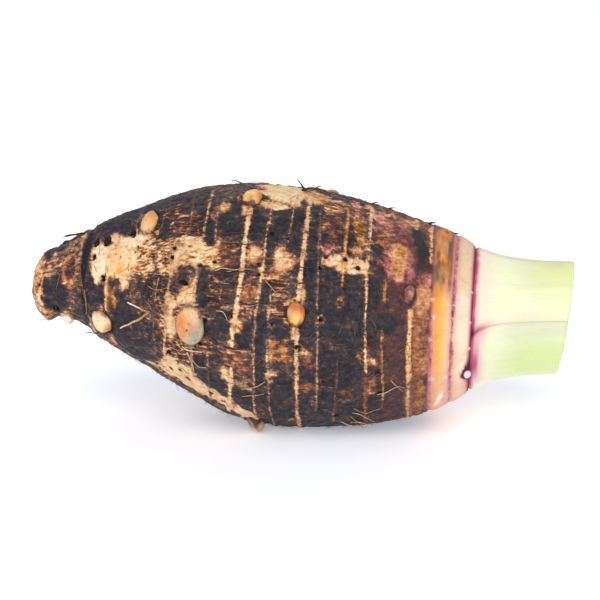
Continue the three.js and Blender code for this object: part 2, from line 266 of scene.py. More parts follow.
# Places where the bark is worn, thin or thick: tint, how much bark is left, distance, angle, half length
# and half width in mm, and for some a turn in degrees. A later row lies over an earlier one.
WEAR = (
    # A dusty ground on top, towards the crown.
    ("dusty", 0.42, 144.0, 72, 16.0, 22.0),
    # The dead tip, the neck behind it and the bark round the pale bud.
    ("rust", 0.15, 2.0, 10, 5.0, 40.0),
    ("plain", 0.14, 3.6, -24, 2.2, 5.0),
    ("plain", 0.30, 2.6, -48, 3.4, 7.0),
    ("plain", 0.80, 11.0, 0, 4.2, 12.0),
    ("plain", 0.72, 10.0, 74, 5.0, 14.0),
    ("plain", 0.34, 9.6, 48, 3.4, 8.0),
    ("dusty", 0.32, 9.4, -52, 2.2, 4.0),
    ("plain", 0.46, 16.0, 60, 6.0, 12.0),
    ("rust", 0.46, 17.4, 26, 3.8, 8.0),
    ("rust", 0.34, 18.0, 15, 2.0, 4.4),
    ("plain", 0.10, 14.5, -52, 2.2, 2.6),
    ("plain", 0.92, 28.5, 4, 3.8, 6.0),
    ("plain", 0.92, 40.0, -6, 4.0, 6.0),
    ("plain", 0.92, 43.0, -26, 6.0, 9.0),
    ("plain", 0.40, 24.6, -15, 1.0, 2.6),
    ("amber", 0.26, 35.8, -3, 2.0, 4.6),
    ("plain", 0.16, 26.6, -56, 2.6, 6.0),
    ("net", 0.22, 35.4, -46, 1.6, 4.0),
    # The bare shoulder above the pale bud.
    ("plain", 0.76, 42.0, 76, 16.0, 10.0),
    ("plain", 0.04, 29.0, 33, 4.2, 9.5, 8),
    ("plain", 0.04, 37.5, 38, 5.6, 9.4),
    ("plain", 0.06, 43.0, 37, 3.8, 8.6),
    ("amber", 0.08, 37.4, 32, 4.4, 7.4),
    ("amber", 0.14, 37.2, 22, 2.8, 1.8),
    ("plain", 0.10, 40.0, 17, 1.8, 4.4, 14),
    ("plain", 0.10, 46.4, 50, 3.4, 3.4, 20),
    ("plain", 0.14, 36.0, 54, 2.8, 4.0),
    ("plain", 0.06, 45.6, 52, 2.6, 3.4, 10),
    # The streaky stretch behind it.
    ("net", 0.34, 53.5, 33, 8.4, 10.5),
    ("net", 0.40, 55.0, 54, 5.4, 2.8),
    ("net", 0.12, 69.4, 38, 11.0, 7.4),
    ("plain", 0.08, 62.4, 33, 1.8, 6.0, -20),
    ("plain", 0.12, 66.0, 43, 3.4, 1.4, 10),
    ("net", 0.14, 76.0, 37, 4.6, 7.4),
    ("rust", 0.28, 66.0, 51.5, 4.4, 1.3),
    ("plain", 0.12, 62.6, 37, 1.8, 7.0, -14),
    ("plain", 0.14, 60.4, 28, 1.4, 3.4, -18),
    ("net", 0.20, 51.0, 26, 6.6, 1.3),
    ("net", 0.20, 53.0, 39, 4.6, 1.2),
    ("net", 0.26, 66.4, 15, 3.4, 2.6),
    ("net", 0.62, 54.0, 12, 5.0, 7.5),
    ("plain", 0.20, 70.0, 16, 1.6, 6.4, -6),
    ("plain", 0.96, 74.4, 44, 2.7, 2.3),
    ("net", 0.56, 66.0, 54, 6.4, 5.4),
    ("net", 0.60, 56.0, 66, 6.6, 5.0),
    ("rust", 0.46, 77.0, 62, 3.0, 5.0),
    ("rust", 0.16, 61.8, 60.5, 3.4, 1.7),
    ("plain", 1.00, 60.6, 58, 3.2, 1.0),
    ("plain", 1.00, 81.6, 56, 4.4, 7.0),
    ("plain", 0.18, 78.6, 67, 3.2, 1.7, -28),
    ("plain", 1.00, 73.0, 57, 1.8, 4.8),
    # Round the big bud and below it.
    ("net", 0.42, 66.4, -4, 10.6, 12.4),
    ("plain", 0.10, 60.4, -4, 2.6, 9.6),
    ("plain", 0.12, 66.6, 11.5, 3.8, 3.4),
    ("plain", 0.22, 70.4, 12, 1.8, 3.6, -8),
    ("plain", 1.00, 76.6, -2, 2.6, 6.6),
    ("net", 0.56, 76.4, -11, 2.0, 3.4),
    ("net", 0.58, 64.0, -26, 5.6, 6.0),
    ("net", 0.08, 62.0, -40, 7.4, 6.6, -10),
    ("net", 0.06, 66.5, -47.5, 12.0, 6.6, -8),
    ("net", 0.08, 76.6, -47, 8.0, 5.0, -18),
    ("plain", 0.06, 85.0, -52, 7.4, 4.0, -28),
    ("plain", 0.12, 90.6, -59, 4.4, 3.0, -30),
    ("rust", 0.03, 58.8, -37, 3.4, 3.2),
    ("rust", 0.03, 65.0, -44, 5.4, 3.6, -10),
    ("rust", 0.03, 71.4, -49, 5.4, 3.6, -10),
    ("rust", 0.03, 80.4, -49, 4.6, 2.6, -24),
    ("plain", 0.80, 61.4, -61, 1.2, 4.6),
    ("plain", 0.80, 73.6, -63, 1.4, 4.6),
    # A dark stretch along the belly: partly dark bark, partly painted shade on the underside.
    ("plain", 0.94, 116.0, -66, 26.0, 7.0),
    ("plain", 0.30, 50.0, -52, 5.0, 3.0, -10),
    ("blush", 0.40, 37.0, -56, 4.0, 2.6),
    ("plain", 0.14, 83.4, -26, 2.4, 4.6, 16),
    ("blush", 0.30, 85.0, -48, 2.0, 5.0),
    ("plain", 0.12, 90.0, -54, 2.0, 2.0),
    ("rust", 0.42, 87.4, -15, 4.4, 7.6),
    ("plain", 0.14, 85.0, -6.5, 2.4, 1.3, 30),
    ("honey", 0.16, 87.0, 2, 2.4, 2.6),
    ("plain", 1.00, 89.4, -40, 3.6, 7.0),
    ("plain", 0.96, 89.6, -4.5, 3.0, 1.7),
    ("plain", 1.00, 80.6, 3, 3.6, 3.6),
    # Between the scar rings, upper front.
    ("net", 0.60, 78.0, 17, 4.4, 6.0),
    ("rust", 0.42, 82.0, 37, 3.6, 6.0),
    ("rust", 0.40, 89.6, 16, 3.0, 8.6),
    ("amber", 0.26, 94.2, 19, 1.6, 2.4),
    ("rust", 0.14, 92.0, 37, 3.4, 3.0),
    ("plain", 0.22, 95.2, 31, 1.8, 2.4),
    ("plain", 0.96, 92.0, 54, 2.6, 8.0),
    ("plain", 0.94, 98.6, 48, 3.0, 5.0),
    ("plain", 0.94, 101.0, 62, 3.6, 7.0),
    ("plain", 0.94, 107.0, 56, 2.6, 9.0),
    ("plain", 1.00, 114.0, 60, 2.0, 8.0),
    ("net", 0.50, 101.0, 25, 4.0, 3.6),
    ("rust", 0.18, 103.8, 36, 4.6, 6.6),
    ("plain", 0.14, 102.6, 38, 2.2, 3.0),
    ("net", 0.62, 103.4, 12, 3.4, 6.0),
    # Thick plates with little wear.
    ("plain", 0.92, 49.6, 70, 3.4, 4.0),
    ("plain", 0.90, 55.4, 54, 2.2, 4.6),
    ("plain", 0.95, 73.0, 17, 1.8, 7.6),
    ("plain", 0.92, 96.4, 2, 2.2, 8.6),
    ("plain", 0.90, 97.6, 21, 1.7, 3.0),
    ("plain", 0.94, 113.0, 4, 1.8, 3.6),
    ("plain", 0.94, 114.4, 31, 2.2, 9.0),
    ("plain", 0.90, 104.0, 5, 2.6, 3.2),
    ("plain", 0.92, 77.0, -34, 5.0, 4.0),
    ("plain", 0.92, 72.0, -26, 2.4, 5.6),
    ("plain", 0.92, 96.4, -24, 2.0, 12.0),
    ("plain", 0.88, 103.6, -47, 4.4, 9.0),
    ("plain", 0.88, 114.0, -46, 4.0, 8.0),
    ("plain", 0.90, 122.0, -42, 3.2, 12.0),
    ("plain", 0.88, 45.0, -44, 8.0, 5.0, -8),
    ("plain", 0.88, 131.0, -48, 3.6, 8.0),
    # Golden and rusty places in the middle of the front, and dark plates between them.
    ("rust", 0.44, 103.8, -6, 4.4, 5.0),
    ("amber", 0.22, 101.6, -6, 1.6, 3.4),
    ("amber", 0.24, 105.8, -5, 1.4, 3.0),
    ("amber", 0.30, 104.8, -11, 2.8, 1.5),
    ("plain", 0.26, 99.8, -19, 2.8, 0.9),
    ("rust", 0.56, 114.0, -11, 2.8, 6.6),
    ("plain", 0.20, 112.8, -6.5, 2.2, 1.1),
    ("rust", 0.48, 114.6, -25, 2.4, 3.4),
    ("plain", 0.94, 105.0, -27, 3.6, 6.6),
    ("plain", 1.00, 113.0, -19, 2.0, 2.0),
    ("rust", 0.52, 129.0, -28, 3.2, 3.4),
    ("plain", 0.94, 129.0, 4, 5.0, 22.0),
    ("plain", 0.94, 121.6, 4, 2.6, 24.0),
    ("plain", 0.30, 118.8, 9, 1.6, 1.6),
    ("amber", 0.26, 127.2, 19.5, 1.2, 1.9),
    ("amber", 0.20, 134.2, -8, 1.2, 1.1),
    ("honey", 0.12, 140.2, -9.2, 1.6, 0.7),
    ("rust", 0.34, 138.4, -25, 2.6, 4.2),
    # The bare back of the top, and the pitted stretch.
    ("honey", 0.02, 99.6, 89, 9.8, 13.0, 4),
    ("plain", 0.08, 98.4, 69, 4.4, 3.4),
    ("plain", 0.18, 87.8, 63.5, 2.2, 2.4),
    ("honey", 0.08, 94.6, 71, 4.6, 1.8, 22),
    ("rust", 0.12, 104.6, 75, 2.6, 3.4),
    ("blush", 0.16, 91.6, 86.5, 1.7, 2.6),
    ("rust", 0.16, 113.4, 84, 5.0, 7.0),
    ("plain", 0.30, 118.4, 72, 1.4, 4.0),
    ("plain", 0.14, 125.8, 38.6, 8.8, 3.6, -2),
    ("plain", 0.12, 130.6, 39.6, 3.6, 3.0),
    ("blush", 0.32, 120.6, 46, 4.4, 2.0),
    ("honey", 0.20, 131.8, 47.6, 3.0, 2.6),
    ("rust", 0.50, 121.4, 60, 4.0, 8.0),
    ("amber", 0.30, 116.6, 58, 1.2, 2.4),
    ("amber", 0.22, 131.8, 53.8, 3.0, 2.2),
    ("amber", 0.34, 131.6, 62, 3.0, 4.4),
    ("rust", 0.32, 140.6, 58, 2.4, 2.8),
    ("plain", 0.92, 139.0, 52, 2.0, 2.6),
    ("net", 0.34, 121.6, 78, 4.6, 6.0),
    ("plain", 0.20, 120.4, 83, 2.8, 2.0),
    ("blush", 0.16, 128.4, 84, 2.8, 4.4),
    ("honey", 0.14, 134.0, 88, 2.4, 3.4),
    ("plain", 0.10, 110.4, 20.5, 1.6, 3.4),
    ("plain", 0.10, 109.8, 3.5, 1.5, 3.6),
    # Young maroon and pink skin towards the crown.
    ("blush", 0.55, 146.4, 0, 4.4, 26.0),
    ("blush", 0.58, 147.0, -40, 4.0, 12.0),
    ("plain", 0.92, 138.0, 20, 2.8, 11.0),
    ("plain", 0.92, 144.0, 10, 3.6, 4.0, 20),
    ("blush", 0.17, 139.6, 76, 2.8, 4.4),
    ("blush", 0.18, 142.6, 70, 1.3, 3.4),
    ("dusty", 0.30, 147.8, 80, 3.8, 8.0),
    ("blush", 0.40, 148.0, 63, 3.0, 4.0),
    ("honey", 0.14, 151.6, 86, 5.4, 2.6),
    ("blush", 0.18, 144.4, 85, 3.6, 3.0),
    ("plain", 0.84, 155.0, 64, 2.6, 11.0),
    ("blush", 0.24, 143.2, 42, 1.5, 7.0),
    ("rust", 0.13, 147.3, 46.5, 3.3, 9.6),
    ("amber", 0.30, 147.6, 51.5, 2.0, 3.8),
    ("rust", 0.24, 147.2, 42, 2.0, 4.0),
    ("blush", 0.20, 152.2, 43, 1.5, 6.0, 8),
    ("blush", 0.22, 157.8, 39.5, 2.0, 3.6),
    ("rust", 0.36, 156.4, 9, 4.4, 20.0),
    ("rust", 0.40, 156.4, -38, 4.4, 24.0),
    ("rust", 0.30, 158.6, -13, 1.8, 4.6),
    ("rust", 0.22, 158.6, 28, 2.4, 4.6),
    ("plain", 0.20, 155.4, 27, 0.8, 4.5),
    ("amber", 0.22, 159.0, -34, 1.3, 2.4),
    # The back and the underside.
    ("net", 0.20, 76.0, 146, 12.0, 8.0, 20),
    ("rust", 0.36, 70.0, 176, 9.0, 7.0),
    ("plain", 0.14, 38.0, 172, 8.0, 9.0, 10),
    ("plain", 0.16, 110.0, 196, 8.0, 4.6, -15),
    ("rust", 0.34, 118.0, 168, 7.0, 6.0),
    ("net", 0.24, 92.0, 246, 13.0, 4.0, 14),
    ("rust", 0.44, 100.0, 222, 8.0, 8.0),
    ("plain", 0.14, 128.0, 150, 6.0, 5.0),
    ("blush", 0.30, 138.0, 206, 5.0, 6.0),
    ("net", 0.22, 58.0, 262, 10.0, 4.6),
    ("blush", 0.58, 146.6, 170, 4.4, 60.0),
    ("rust", 0.42, 156.4, 160, 4.6, 60.0),
)
# How rusty, amber, pink and fibrous each tint is.
TINTS = {
    "plain": (0, 0, 0, 0),
    "net": (0.6, 0.3, 0, 1),
    "rust": (1, 0, 0, 0.2),
    "amber": (0, 1, 0, 0),
    "blush": (0, 0, 1, 0),
    "honey": (0.3, 0.4, 0, 0),
    "dusty": (0.5, 0, 0.45, 0),
}

# Dark holes left by dead roots: distance, angle, half length, half width in mm.
PITS = (
    (27.2, 56, 1.4, 2.4), (31.8, 54, 1.7, 2.8), (26.8, 39, 1.0, 1.8), (42.6, 55, 1.2, 2.3),
    (31.8, 17, 1.2, 1.5), (38.3, 33.5, 0.5, 0.9), (127.2, 41.6, 1.1, 1.0), (132.2, 38.4, 1.3, 1.1),
    (119.8, 41, 1.6, 0.6), (117.7, 35, 0.9, 0.9), (123.4, 37, 0.6, 0.6), (65.2, 18.5, 1.9, 1.3),
    (51.4, 36, 1.6, 0.5), (51.8, 33.6, 1.4, 0.5), (71.0, 29.5, 1.6, 0.8), (76.8, 32, 1.2, 0.8),
    (68.0, 33.5, 1.0, 0.5), (60.0, 39, 1.0, 1.0), (59.6, 33, 0.9, 1.2),
    (63.2, -41, 0.9, 1.3), (59.2, -44, 1.0, 1.4), (66.2, -46, 1.2, 1.5), (75.6, -46.5, 1.2, 1.4),
    (80.6, -51, 1.1, 1.4), (59.6, -27, 1.1, 1.3), (62.4, -33, 0.9, 1.1), (84.6, 6.5, 0.9, 0.8),
    (87.0, 16.6, 0.8, 0.6), (118.9, 9.6, 0.8, 0.9), (94.4, 33, 1.0, 0.9), (94.6, 28, 0.9, 0.8),
    (45.0, 42, 0.6, 1.0), (46.4, 35, 0.6, 1.0), (44.2, 38, 0.5, 0.8), (110.4, -4.2, 1.6, 0.9),
    (104.4, 48, 0.8, 0.8), (98.4, 50, 0.9, 1.0), (11.0, -34, 1.6, 2.4), (74.6, 1.5, 0.8, 1.0),
    (72.4, -12, 0.9, 0.7), (119.6, -41.5, 1.2, 1.0), (125.6, -48, 1.2, 1.4), (100.6, 5.5, 0.7, 0.8),
    (4.0, 12, 0.7, 0.9), (4.6, 20, 0.6, 0.9), (3.2, 2, 0.5, 0.6), (142.2, -17.6, 1.0, 0.7),
    (142.6, -31, 1.0, 0.9), (80.0, 150, 1.4, 1.2), (72.0, 140, 1.2, 1.4), (112.0, 190, 1.1, 1.1),
    (90.0, 250, 1.3, 1.2), (40.0, 168, 1.2, 1.2), (104.0, 132, 1.0, 1.2), (62.0, 200, 1.3, 1.1),
)

# Side buds: distance, angle, length along the corm, width round it and height above the skin, ground
# colour, the side with the dry rim, how wide the rim is and its colour, then spots of colour as (u, v,
# reach, colour). Across a bud, u runs from -1 to 1 towards the crown and v from -1 to 1 up the skin; sides
# are in degrees from u.
BUDS = (
    (109, 12, 7.2, 9, 4.4, "#E19A5C", -5, 0.4, "#4A2A1C",
     ((-0.5, 0.7, 0.55, "#DE8238"), (0.2, 0.4, 0.5, "#D66C38"), (-0.9, 0.0, 0.35, "#E6BC8C"),
      (-0.3, -0.5, 0.55, "#FACE70"), (0.2, -0.75, 0.25, "#C87830"), (0.9, -0.1, 0.4, "#9A5428"))),
    (68.2, -4, 12.6, 16, 2.4, "#DAB48C", -30, 0.1, "#6A4A3A",
     ((-0.55, -0.6, 0.4, "#DAAE84"), (-0.42, 0.62, 0.45, "#F0CA8C"), (0.35, 0.75, 0.42, "#E6BC92"),
      (0.2, 0.05, 0.34, "#CE9C7A"), (0.95, 0.2, 0.4, "#AA9488"), (0.45, -0.38, 0.45, "#B09876"),
      (0.6, -0.85, 0.6, "#929C8E"), (-0.5, 0.1, 0.6, "#E28438"), (0.7, 0.6, 0.1, "#843A20"),
      (-0.15, -0.05, 0.08, "#4E2A10"))),
    (31.3, -24, 10, 10, 4.4, "#F1DCAE", 0, 0.5, "#9A6238",
     ((-0.85, 0.4, 0.45, "#F6EAD2"), (-0.1, 0.85, 0.4, "#EED6B6"), (-0.05, -0.2, 0.4, "#F6DC98"),
      (0.72, -0.1, 0.46, "#CE8038"), (0.5, -0.75, 0.35, "#A06C3C"), (0.05, 0.98, 0.15, "#DC9C80"),
      (0.28, 0.92, 0.15, "#CE7C64"), (0.45, 0.84, 0.14, "#C07450"))),
    (48.3, 62, 8, 12, 2.8, "#F0B674", -20, 0.3, "#6A4430",
     ((-0.7, 0.0, 0.5, "#E8C09A"), (-0.4, 0.5, 0.4, "#D6A47C"), (0.5, 0.4, 0.5, "#E39A4A"),
      (0.5, 0.85, 0.35, "#DA9850"), (0.0, -0.8, 0.45, "#E6B890"))),
    (88.2, 74, 8, 12, 3.0, "#F0BE74", -100, 0.64, "#6E302C",
     ((-0.5, 0.15, 0.5, "#F6D070"), (-0.8, 0.45, 0.4, "#EED8B0"), (0.75, -0.1, 0.5, "#DC8A3C"),
      (-0.2, -0.7, 0.35, "#D08A44"))),
    (38.5, 33, 9, 12, 0.9, "#F4C88E", -90, 0.0, "#E0A060",
     ((-0.6, 0.2, 0.6, "#F1C088"), (0.4, 0.5, 0.5, "#F3D6A4"), (0.0, -0.85, 0.4, "#E89C4C"),
      (0.05, 0.02, 0.09, "#8A6030"))),
    # Bud 7's pale spot in its middle is a painted highlight.
    (152, 28, 5, 7.5, 1.8, "#864A44", -25, 0.85, "#38160F",
     ((-0.2, 0.7, 0.45, "#784856"), (-0.1, 0.0, 0.34, "#C28A76"), (-0.1, -0.75, 0.2, "#44201C"))),
    # Bud 8 hangs under the belly: its dark top, from the rim on its upper side and the dark spot above, is
    # painted shadow.
    (92.6, -64, 8, 8.5, 4.2, "#C89C70", 90, 0.5, "#3E2224",
     ((0.0, 0.9, 0.5, "#482A2C"), (-0.3, 0.1, 0.4, "#E0BE96"), (0.5, 0.1, 0.35, "#A08454"),
      (-0.7, 0.5, 0.35, "#8A5848"))),
    (15.3, -52, 5, 6, 2.2, "#EEE2C6", 60, 0.2, "#A89468", ((0.4, -0.4, 0.5, "#E6D4AC"),)),
    (60, 152, 9, 12, 3.0, "#DDA462", 20, 0.4, "#5A3022",
     ((-0.4, -0.4, 0.6, "#EDD094"), (0.3, 0.3, 0.4, "#CC6A2E"))),
    (79, 208, 13, 14, 2.8, "#DDAA80", -60, 0.3, "#8E9282",
     ((-0.5, 0.2, 0.5, "#D8803C"), (0.3, 0.6, 0.4, "#EBC0A0"), (0.0, 0.0, 0.08, "#4E2A10"))),
    (99, 168, 8, 11, 3.8, "#DFA05E", 70, 0.4, "#4E2A1C",
     ((-0.3, -0.5, 0.5, "#F0C86C"), (0.2, 0.4, 0.4, "#CC6430"))),
    (121, 226, 7.5, 10, 3.4, "#CC9664", 0, 0.5, "#4A241C",
     ((-0.3, 0.3, 0.5, "#E2BC84"), (0.3, -0.4, 0.4, "#A85E34"))),
    (137, 178, 6, 9, 2.6, "#A66E54", 90, 0.5, "#3A1C1C",
     ((-0.2, -0.2, 0.4, "#C89272"), (0.4, 0.3, 0.4, "#864A44"))),
    (46, 232, 8, 10, 3.0, "#E4BA7C", 180, 0.3, "#8A4A30",
     ((0.3, 0.4, 0.5, "#EED6A8"), (-0.3, -0.4, 0.4, "#D08A42"))),
    (117, 118, 7, 10, 3.0, "#D0945A", 0, 0.4, "#5A2A22",
     ((-0.4, 0.2, 0.5, "#E4BA80"), (0.2, -0.5, 0.4, "#AA6638"))),
)

# Scars of buds and roots that fell off, each with a raised rim: distance, angle, half length and half
# width in mm.
SCARS = (
    (17.6, 27, 3.2, 6.4), (91.6, 86.5, 1.7, 2.8), (119.4, 10, 1.5, 2.0), (126.0, 19, 1.4, 2.0),
    (111.6, -5, 1.4, 1.7), (31.6, 17, 1.2, 1.6), (64.0, 180, 3.0, 4.4), (104.0, 205, 2.0, 2.4),
    (86.0, 122, 2.2, 3.0),
)

# Colours of the young bands by the crown: distance, then above, at the front and below.
BANDS = (
    (160.6, "#7A4A3C", "#8E4E3E", "#84503E"),
    (161.9, "#B8744A", "#E29450", "#D8967A"),
    (163.8, "#CA8450", "#ECAC4C", "#E6AE84"),
    (165.8, "#CC8A56", "#F0BE78", "#EAB694"),
    (167.8, "#B67C5E", "#EBC4A2", "#E4AE98"),
    (169.6, "#D8A08C", "#EAC8B2", "#E4B6A2"),
    (171.0, "#ECCBA6", "#F2DAC2", "#ECC2A6"),
    (173.0, "#EED0A8", "#F4E0C8", "#EEC6AA"),
    (175.3, "#ECCCAC", "#F0D6BE", "#E4B69E"),
    (176.1, "#D69AA0", "#D0909A", "#B87080"),
    (176.5, "#A8385A", "#A42E50", "#8E3050"),
    (CORM_LENGTH, "#7E1E40", "#7A1C3C", "#5E1C34"),
)

# White dots of dried sap on the wine-red lines: distance, angle, radius in mm.
SAP_DOTS = (
    (161.6, 16, 1.0), (160.8, 2, 1.1), (161.9, -26, 1.3), (160.9, 27, 0.8), (167.6, -27, 0.8),
    (168.8, 9, 0.6), (176.6, 36, 0.7), (176.5, 12, 0.6), (176.6, -9, 0.8),
)

# Blotches on the gold band where it is worn: distance, angle, half length, half width in mm and colour.
BLOTCHES = (
    (164.6, 69, 3.0, 5.0, "#BE8C62"), (164.8, 82, 2.0, 7.0, "#E8873C"), (163.8, 57, 1.7, 2.8, "#F09A3E"),
    (165.8, 51, 2.6, 2.6, "#B27038"), (163.0, 42, 1.5, 4.0, "#BE9A70"), (167.0, 38, 1.3, 5.4, "#E09A74"),
)

# Single roots that lie on the skin: how pale they are, their radius in mm, then places with their lift.
STRAY_ROOTS = (
    # Threads and stumps on the side that faces the front.
    (0.05, 0.34, ((71.0, 48, 0.1), (75.5, 47, 0.6), (80.0, 47, 0.7), (85.0, 48, 0.9), (88.5, 48, 0.1))),
    (0.00, 0.34, ((81.0, 42, 0.1), (85.0, 42, 0.8), (90.0, 42, 0.1))),
    (0.05, 0.42, ((77.5, 26, 0.1), (83.0, 26, 0.7), (88.0, 28, 1.0), (93.0, 29, 0.2))),
    (0.72, 0.24, ((77.5, 27.5, 0.1), (82.0, 29, 0.8), (86.0, 28.6, 0.4))),
    (0.62, 0.20, ((82.0, 27.6, 0.5), (88.0, 29.2, 1.2), (92.0, 30, 0.2))),
    (0.02, 0.36, ((87.5, 14, 0.1), (93.0, 14, 0.8), (98.0, 16, 0.8), (104.0, 14, 0.1))),
    (0.70, 0.20, ((89.0, 12.6, 0.1), (91.6, 13, 0.7), (94.5, 14, 0.1))),
    (0.55, 0.30, ((97.0, 26, 0.1), (99.5, 23, 0.8), (102.5, 20, 0.8), (105.0, 18, 0.1))),
    (0.50, 0.26, ((77.0, 24, 0.1), (80.5, 22, 0.6), (83.5, 22, 0.1))),
    (0.66, 0.28, ((79.0, 8, 0.1), (81.5, 8, 0.7), (83.5, 4, 0.1))),
    (0.05, 0.30, ((108.0, 34, 0.1), (112.5, 34, 0.7), (116.5, 35, 0.1))),
    (0.05, 0.32, ((110.0, 26, 0.1), (112.0, 26.5, 0.6), (114.0, 26, 0.1))),
    (0.05, 0.40, ((83.0, -9, 0.1), (86.5, -9, 0.7), (89.0, -8, 0.7), (93.0, -7, 0.1))),
    (0.66, 0.20, ((84.0, -10, 0.1), (88.0, -9, 0.9), (93.0, -8.4, 0.1))),
    (0.60, 0.24, ((89.0, -32, 0.1), (92.5, -29, 0.7), (96.5, -26, 0.7), (98.5, -24, 0.1))),
    (0.80, 0.34, ((65.5, -18, 0.1), (68.5, -18, 0.6), (73.5, -16, 0.1))),
    (0.70, 0.30, ((67.5, -20, 0.1), (69.0, -26, 0.6), (70.0, -32, 0.1))),
    (0.66, 0.26, ((69.0, -23, 0.1), (71.5, -26, 0.6), (75.5, -25, 0.1))),
    (0.60, 0.20, ((89.0, -37, 0.1), (93.5, -34, 0.6), (98.0, -32, 0.1))),
    (0.66, 0.22, ((141.5, -32, 0.1), (145.0, -30, 0.6), (148.5, -27, 0.7), (152.0, -29, 0.1))),
    (0.60, 0.22, ((146.5, -22, 0.1), (149.5, -28, 0.6), (151.5, -32, 0.1))),
    (0.56, 0.22, ((140.5, 60, 0.1), (143.0, 62, 0.6), (145.0, 64, 0.1))),
    (0.55, 0.22, ((55.5, 20, 0.1), (54.5, 11, 0.6), (54.0, 4, 0.1))),
    (0.58, 0.22, ((49.5, 22, 0.1), (55.0, 22, 0.6), (60.0, 22, 0.1))),
    (0.55, 0.20, ((51.0, 14, 0.1), (53.5, 12, 0.6), (59.0, 14, 0.1))),
    (0.50, 0.26, ((24.0, 2, 0.1), (25.0, -10, 0.9), (24.5, -28, 0.1))),
    (0.30, 0.24, ((21.5, 32, 0.1), (23.0, 11, 0.9), (24.0, -7, 0.1))),
    (0.20, 0.22, ((13.0, 20, 0.1), (11.0, 4, 0.9), (13.0, -12, 0.1))),
    (0.40, 0.20, ((10.0, 36, 0.1), (13.0, 22, 0.8), (12.0, 4, 0.1))),
    # Dry fibres under the belly, on the side that faces the front.
    (0.75, 0.22, ((127.0, -57, 0.2), (130.5, -60, 1.0), (135.5, -66, 1.6), (139.5, -68, 2.6))),
    (0.62, 0.22, ((131.0, -50, 0.2), (134.5, -57, 1.2), (138.0, -66, 1.6))),
    (0.70, 0.20, ((132.0, -46, 0.2), (136.0, -48, 1.0), (140.5, -58, 1.4))),
    (0.55, 0.20, ((132.5, -42, 0.2), (137.0, -46, 0.9), (142.5, -44, 0.4))),
    (0.50, 0.20, ((129.5, -52, 0.2), (134.0, -60, 1.4), (136.5, -68, 1.8))),
    (0.78, 0.18, ((131.0, -60, 0.2), (135.0, -56, 1.4), (139.0, -62, 2.0))),
    # Dark root stumps on the outline.
    (0.08, 0.60, ((107.0, 92, 0.0), (109.0, 90, 1.2), (112.5, 90, 1.9), (117.0, 92, 1.4))),
    (0.05, 0.40, ((108.8, 90, 0.6), (106.4, 92, 2.4), (105.0, 95, 3.4))),
    (0.10, 0.34, ((112.0, 90, 1.2), (113.4, 91, 2.6), (115.2, 90, 3.6))),
    (0.05, 0.34, ((83.0, 97, 0.0), (80.4, 98, 1.4), (78.0, 98, 1.8))),
    (0.05, 0.50, ((22.0, 84, 0.2), (18.0, 88, 1.6), (14.0, 92, 2.8), (11.6, 96, 3.2))),
    (0.05, 0.32, ((16.6, 90, 2.0), (15.0, 84, 3.2), (13.0, 82, 4.2))),
    (0.05, 0.34, ((135.0, 96, 0.0), (136.2, 95, 0.9), (137.4, 97, 1.2))),
    (0.10, 0.36, ((141.6, 98, 0.0), (142.6, 96, 0.8), (144.0, 98, 1.1))),
    (0.05, 0.44, ((158.2, 96, 0.0), (159.0, 94, 0.8), (160.4, 96, 1.1))),
    (0.05, 0.44, ((167.8, 96, 0.0), (168.6, 94, 0.6), (169.8, 98, 0.8))),
    (0.08, 0.34, ((30.0, -44, 0.1), (28.0, -47, 1.2), (25.4, -50, 2.4), (24.0, -50, 3.6))),
    (0.10, 0.30, ((7.0, 60, 0.1), (6.0, 66, 1.2), (4.8, 72, 1.8))),
)


def turn_between(degrees, middle):
    """How far angles lie past a middle angle, from -180 to 180."""
    return (degrees - middle + 180) % 360 - 180


def patch_depth(place, degrees, radius, spot):
    """How deep in mm points lie inside an oval patch on the skin; negative outside. The patch is a
    distance, an angle, half a length and half a width in mm, and a turn if it has one."""
    x0, angle, half_long, half_wide, turn = (*spot, 0)[:5]
    u = place - x0
    v = np.radians(turn_between(degrees, angle)) * radius
    cos, sin = math.cos(math.radians(turn)), math.sin(math.radians(turn))
    u, v = u * cos + v * sin, v * cos - u * sin
    reach = np.sqrt((u / half_long) ** 2 + (v / half_wide) ** 2)
    return (1 - reach) * min(half_long, half_wide)


def worn_bark(place, degrees, points, radius):
    """How much bark is left, from 0 for bare flesh to 1, and how rusty, amber, pink and fibrous it is."""
    hidden = step(96, 122, np.abs(turn_between(degrees, FACING)))
    left = 0.57 + 0.08 * cloud(points, 16, 51) + 0.12 * cloud(points, (6, 4, 4), 52)
    left = left + 0.09 * step(106, 116, place) * step(150, 140, place)
    left = left - hidden * 0.45 * step(0.2, 0.6, cloud(points, (15, 9, 9), 53))
    left = left + hidden * 0.15 * step(0.0, 0.5, cloud(points, (15, 9, 9), 60))
    charcoal = step(92, 72, place) * step(44, 60, turn_between(degrees, 0)) * (1 - hidden)
    rusty = 0.6 * step(0.0, 0.6, cloud(points, 12, 54)) * (1 - 0.7 * charcoal)
    fibrous = 0.6 * step(-0.2, 0.4, cloud(points, 14, 55)) * step(118, 104, place) * (1 - 0.7 * charcoal)
    tint = np.stack([rusty, np.zeros(place.shape), step(128, 146, place), fibrous])
    left = left + 0.08 * charcoal
    # The patches have wandering edges.
    shift = 1.9 * cloud(points, 7, 56) + 0.8 * cloud(points, 2.4, 57)
    swing = (1.9 * cloud(points, 7, 58) + 0.8 * cloud(points, 2.4, 59)) / radius
    for kind, level, *spot in WEAR:
        depth = patch_depth(place + shift, degrees + np.degrees(swing), radius, spot)
        share = step(-1.1, 1.2, depth)
        left = left + (level - left) * share
        tint += (np.array(TINTS[kind])[:, None, None] - tint) * share
    return np.minimum(left, 0.76 + 0.05 * cloud(points, (5, 3, 3), 50)), tint


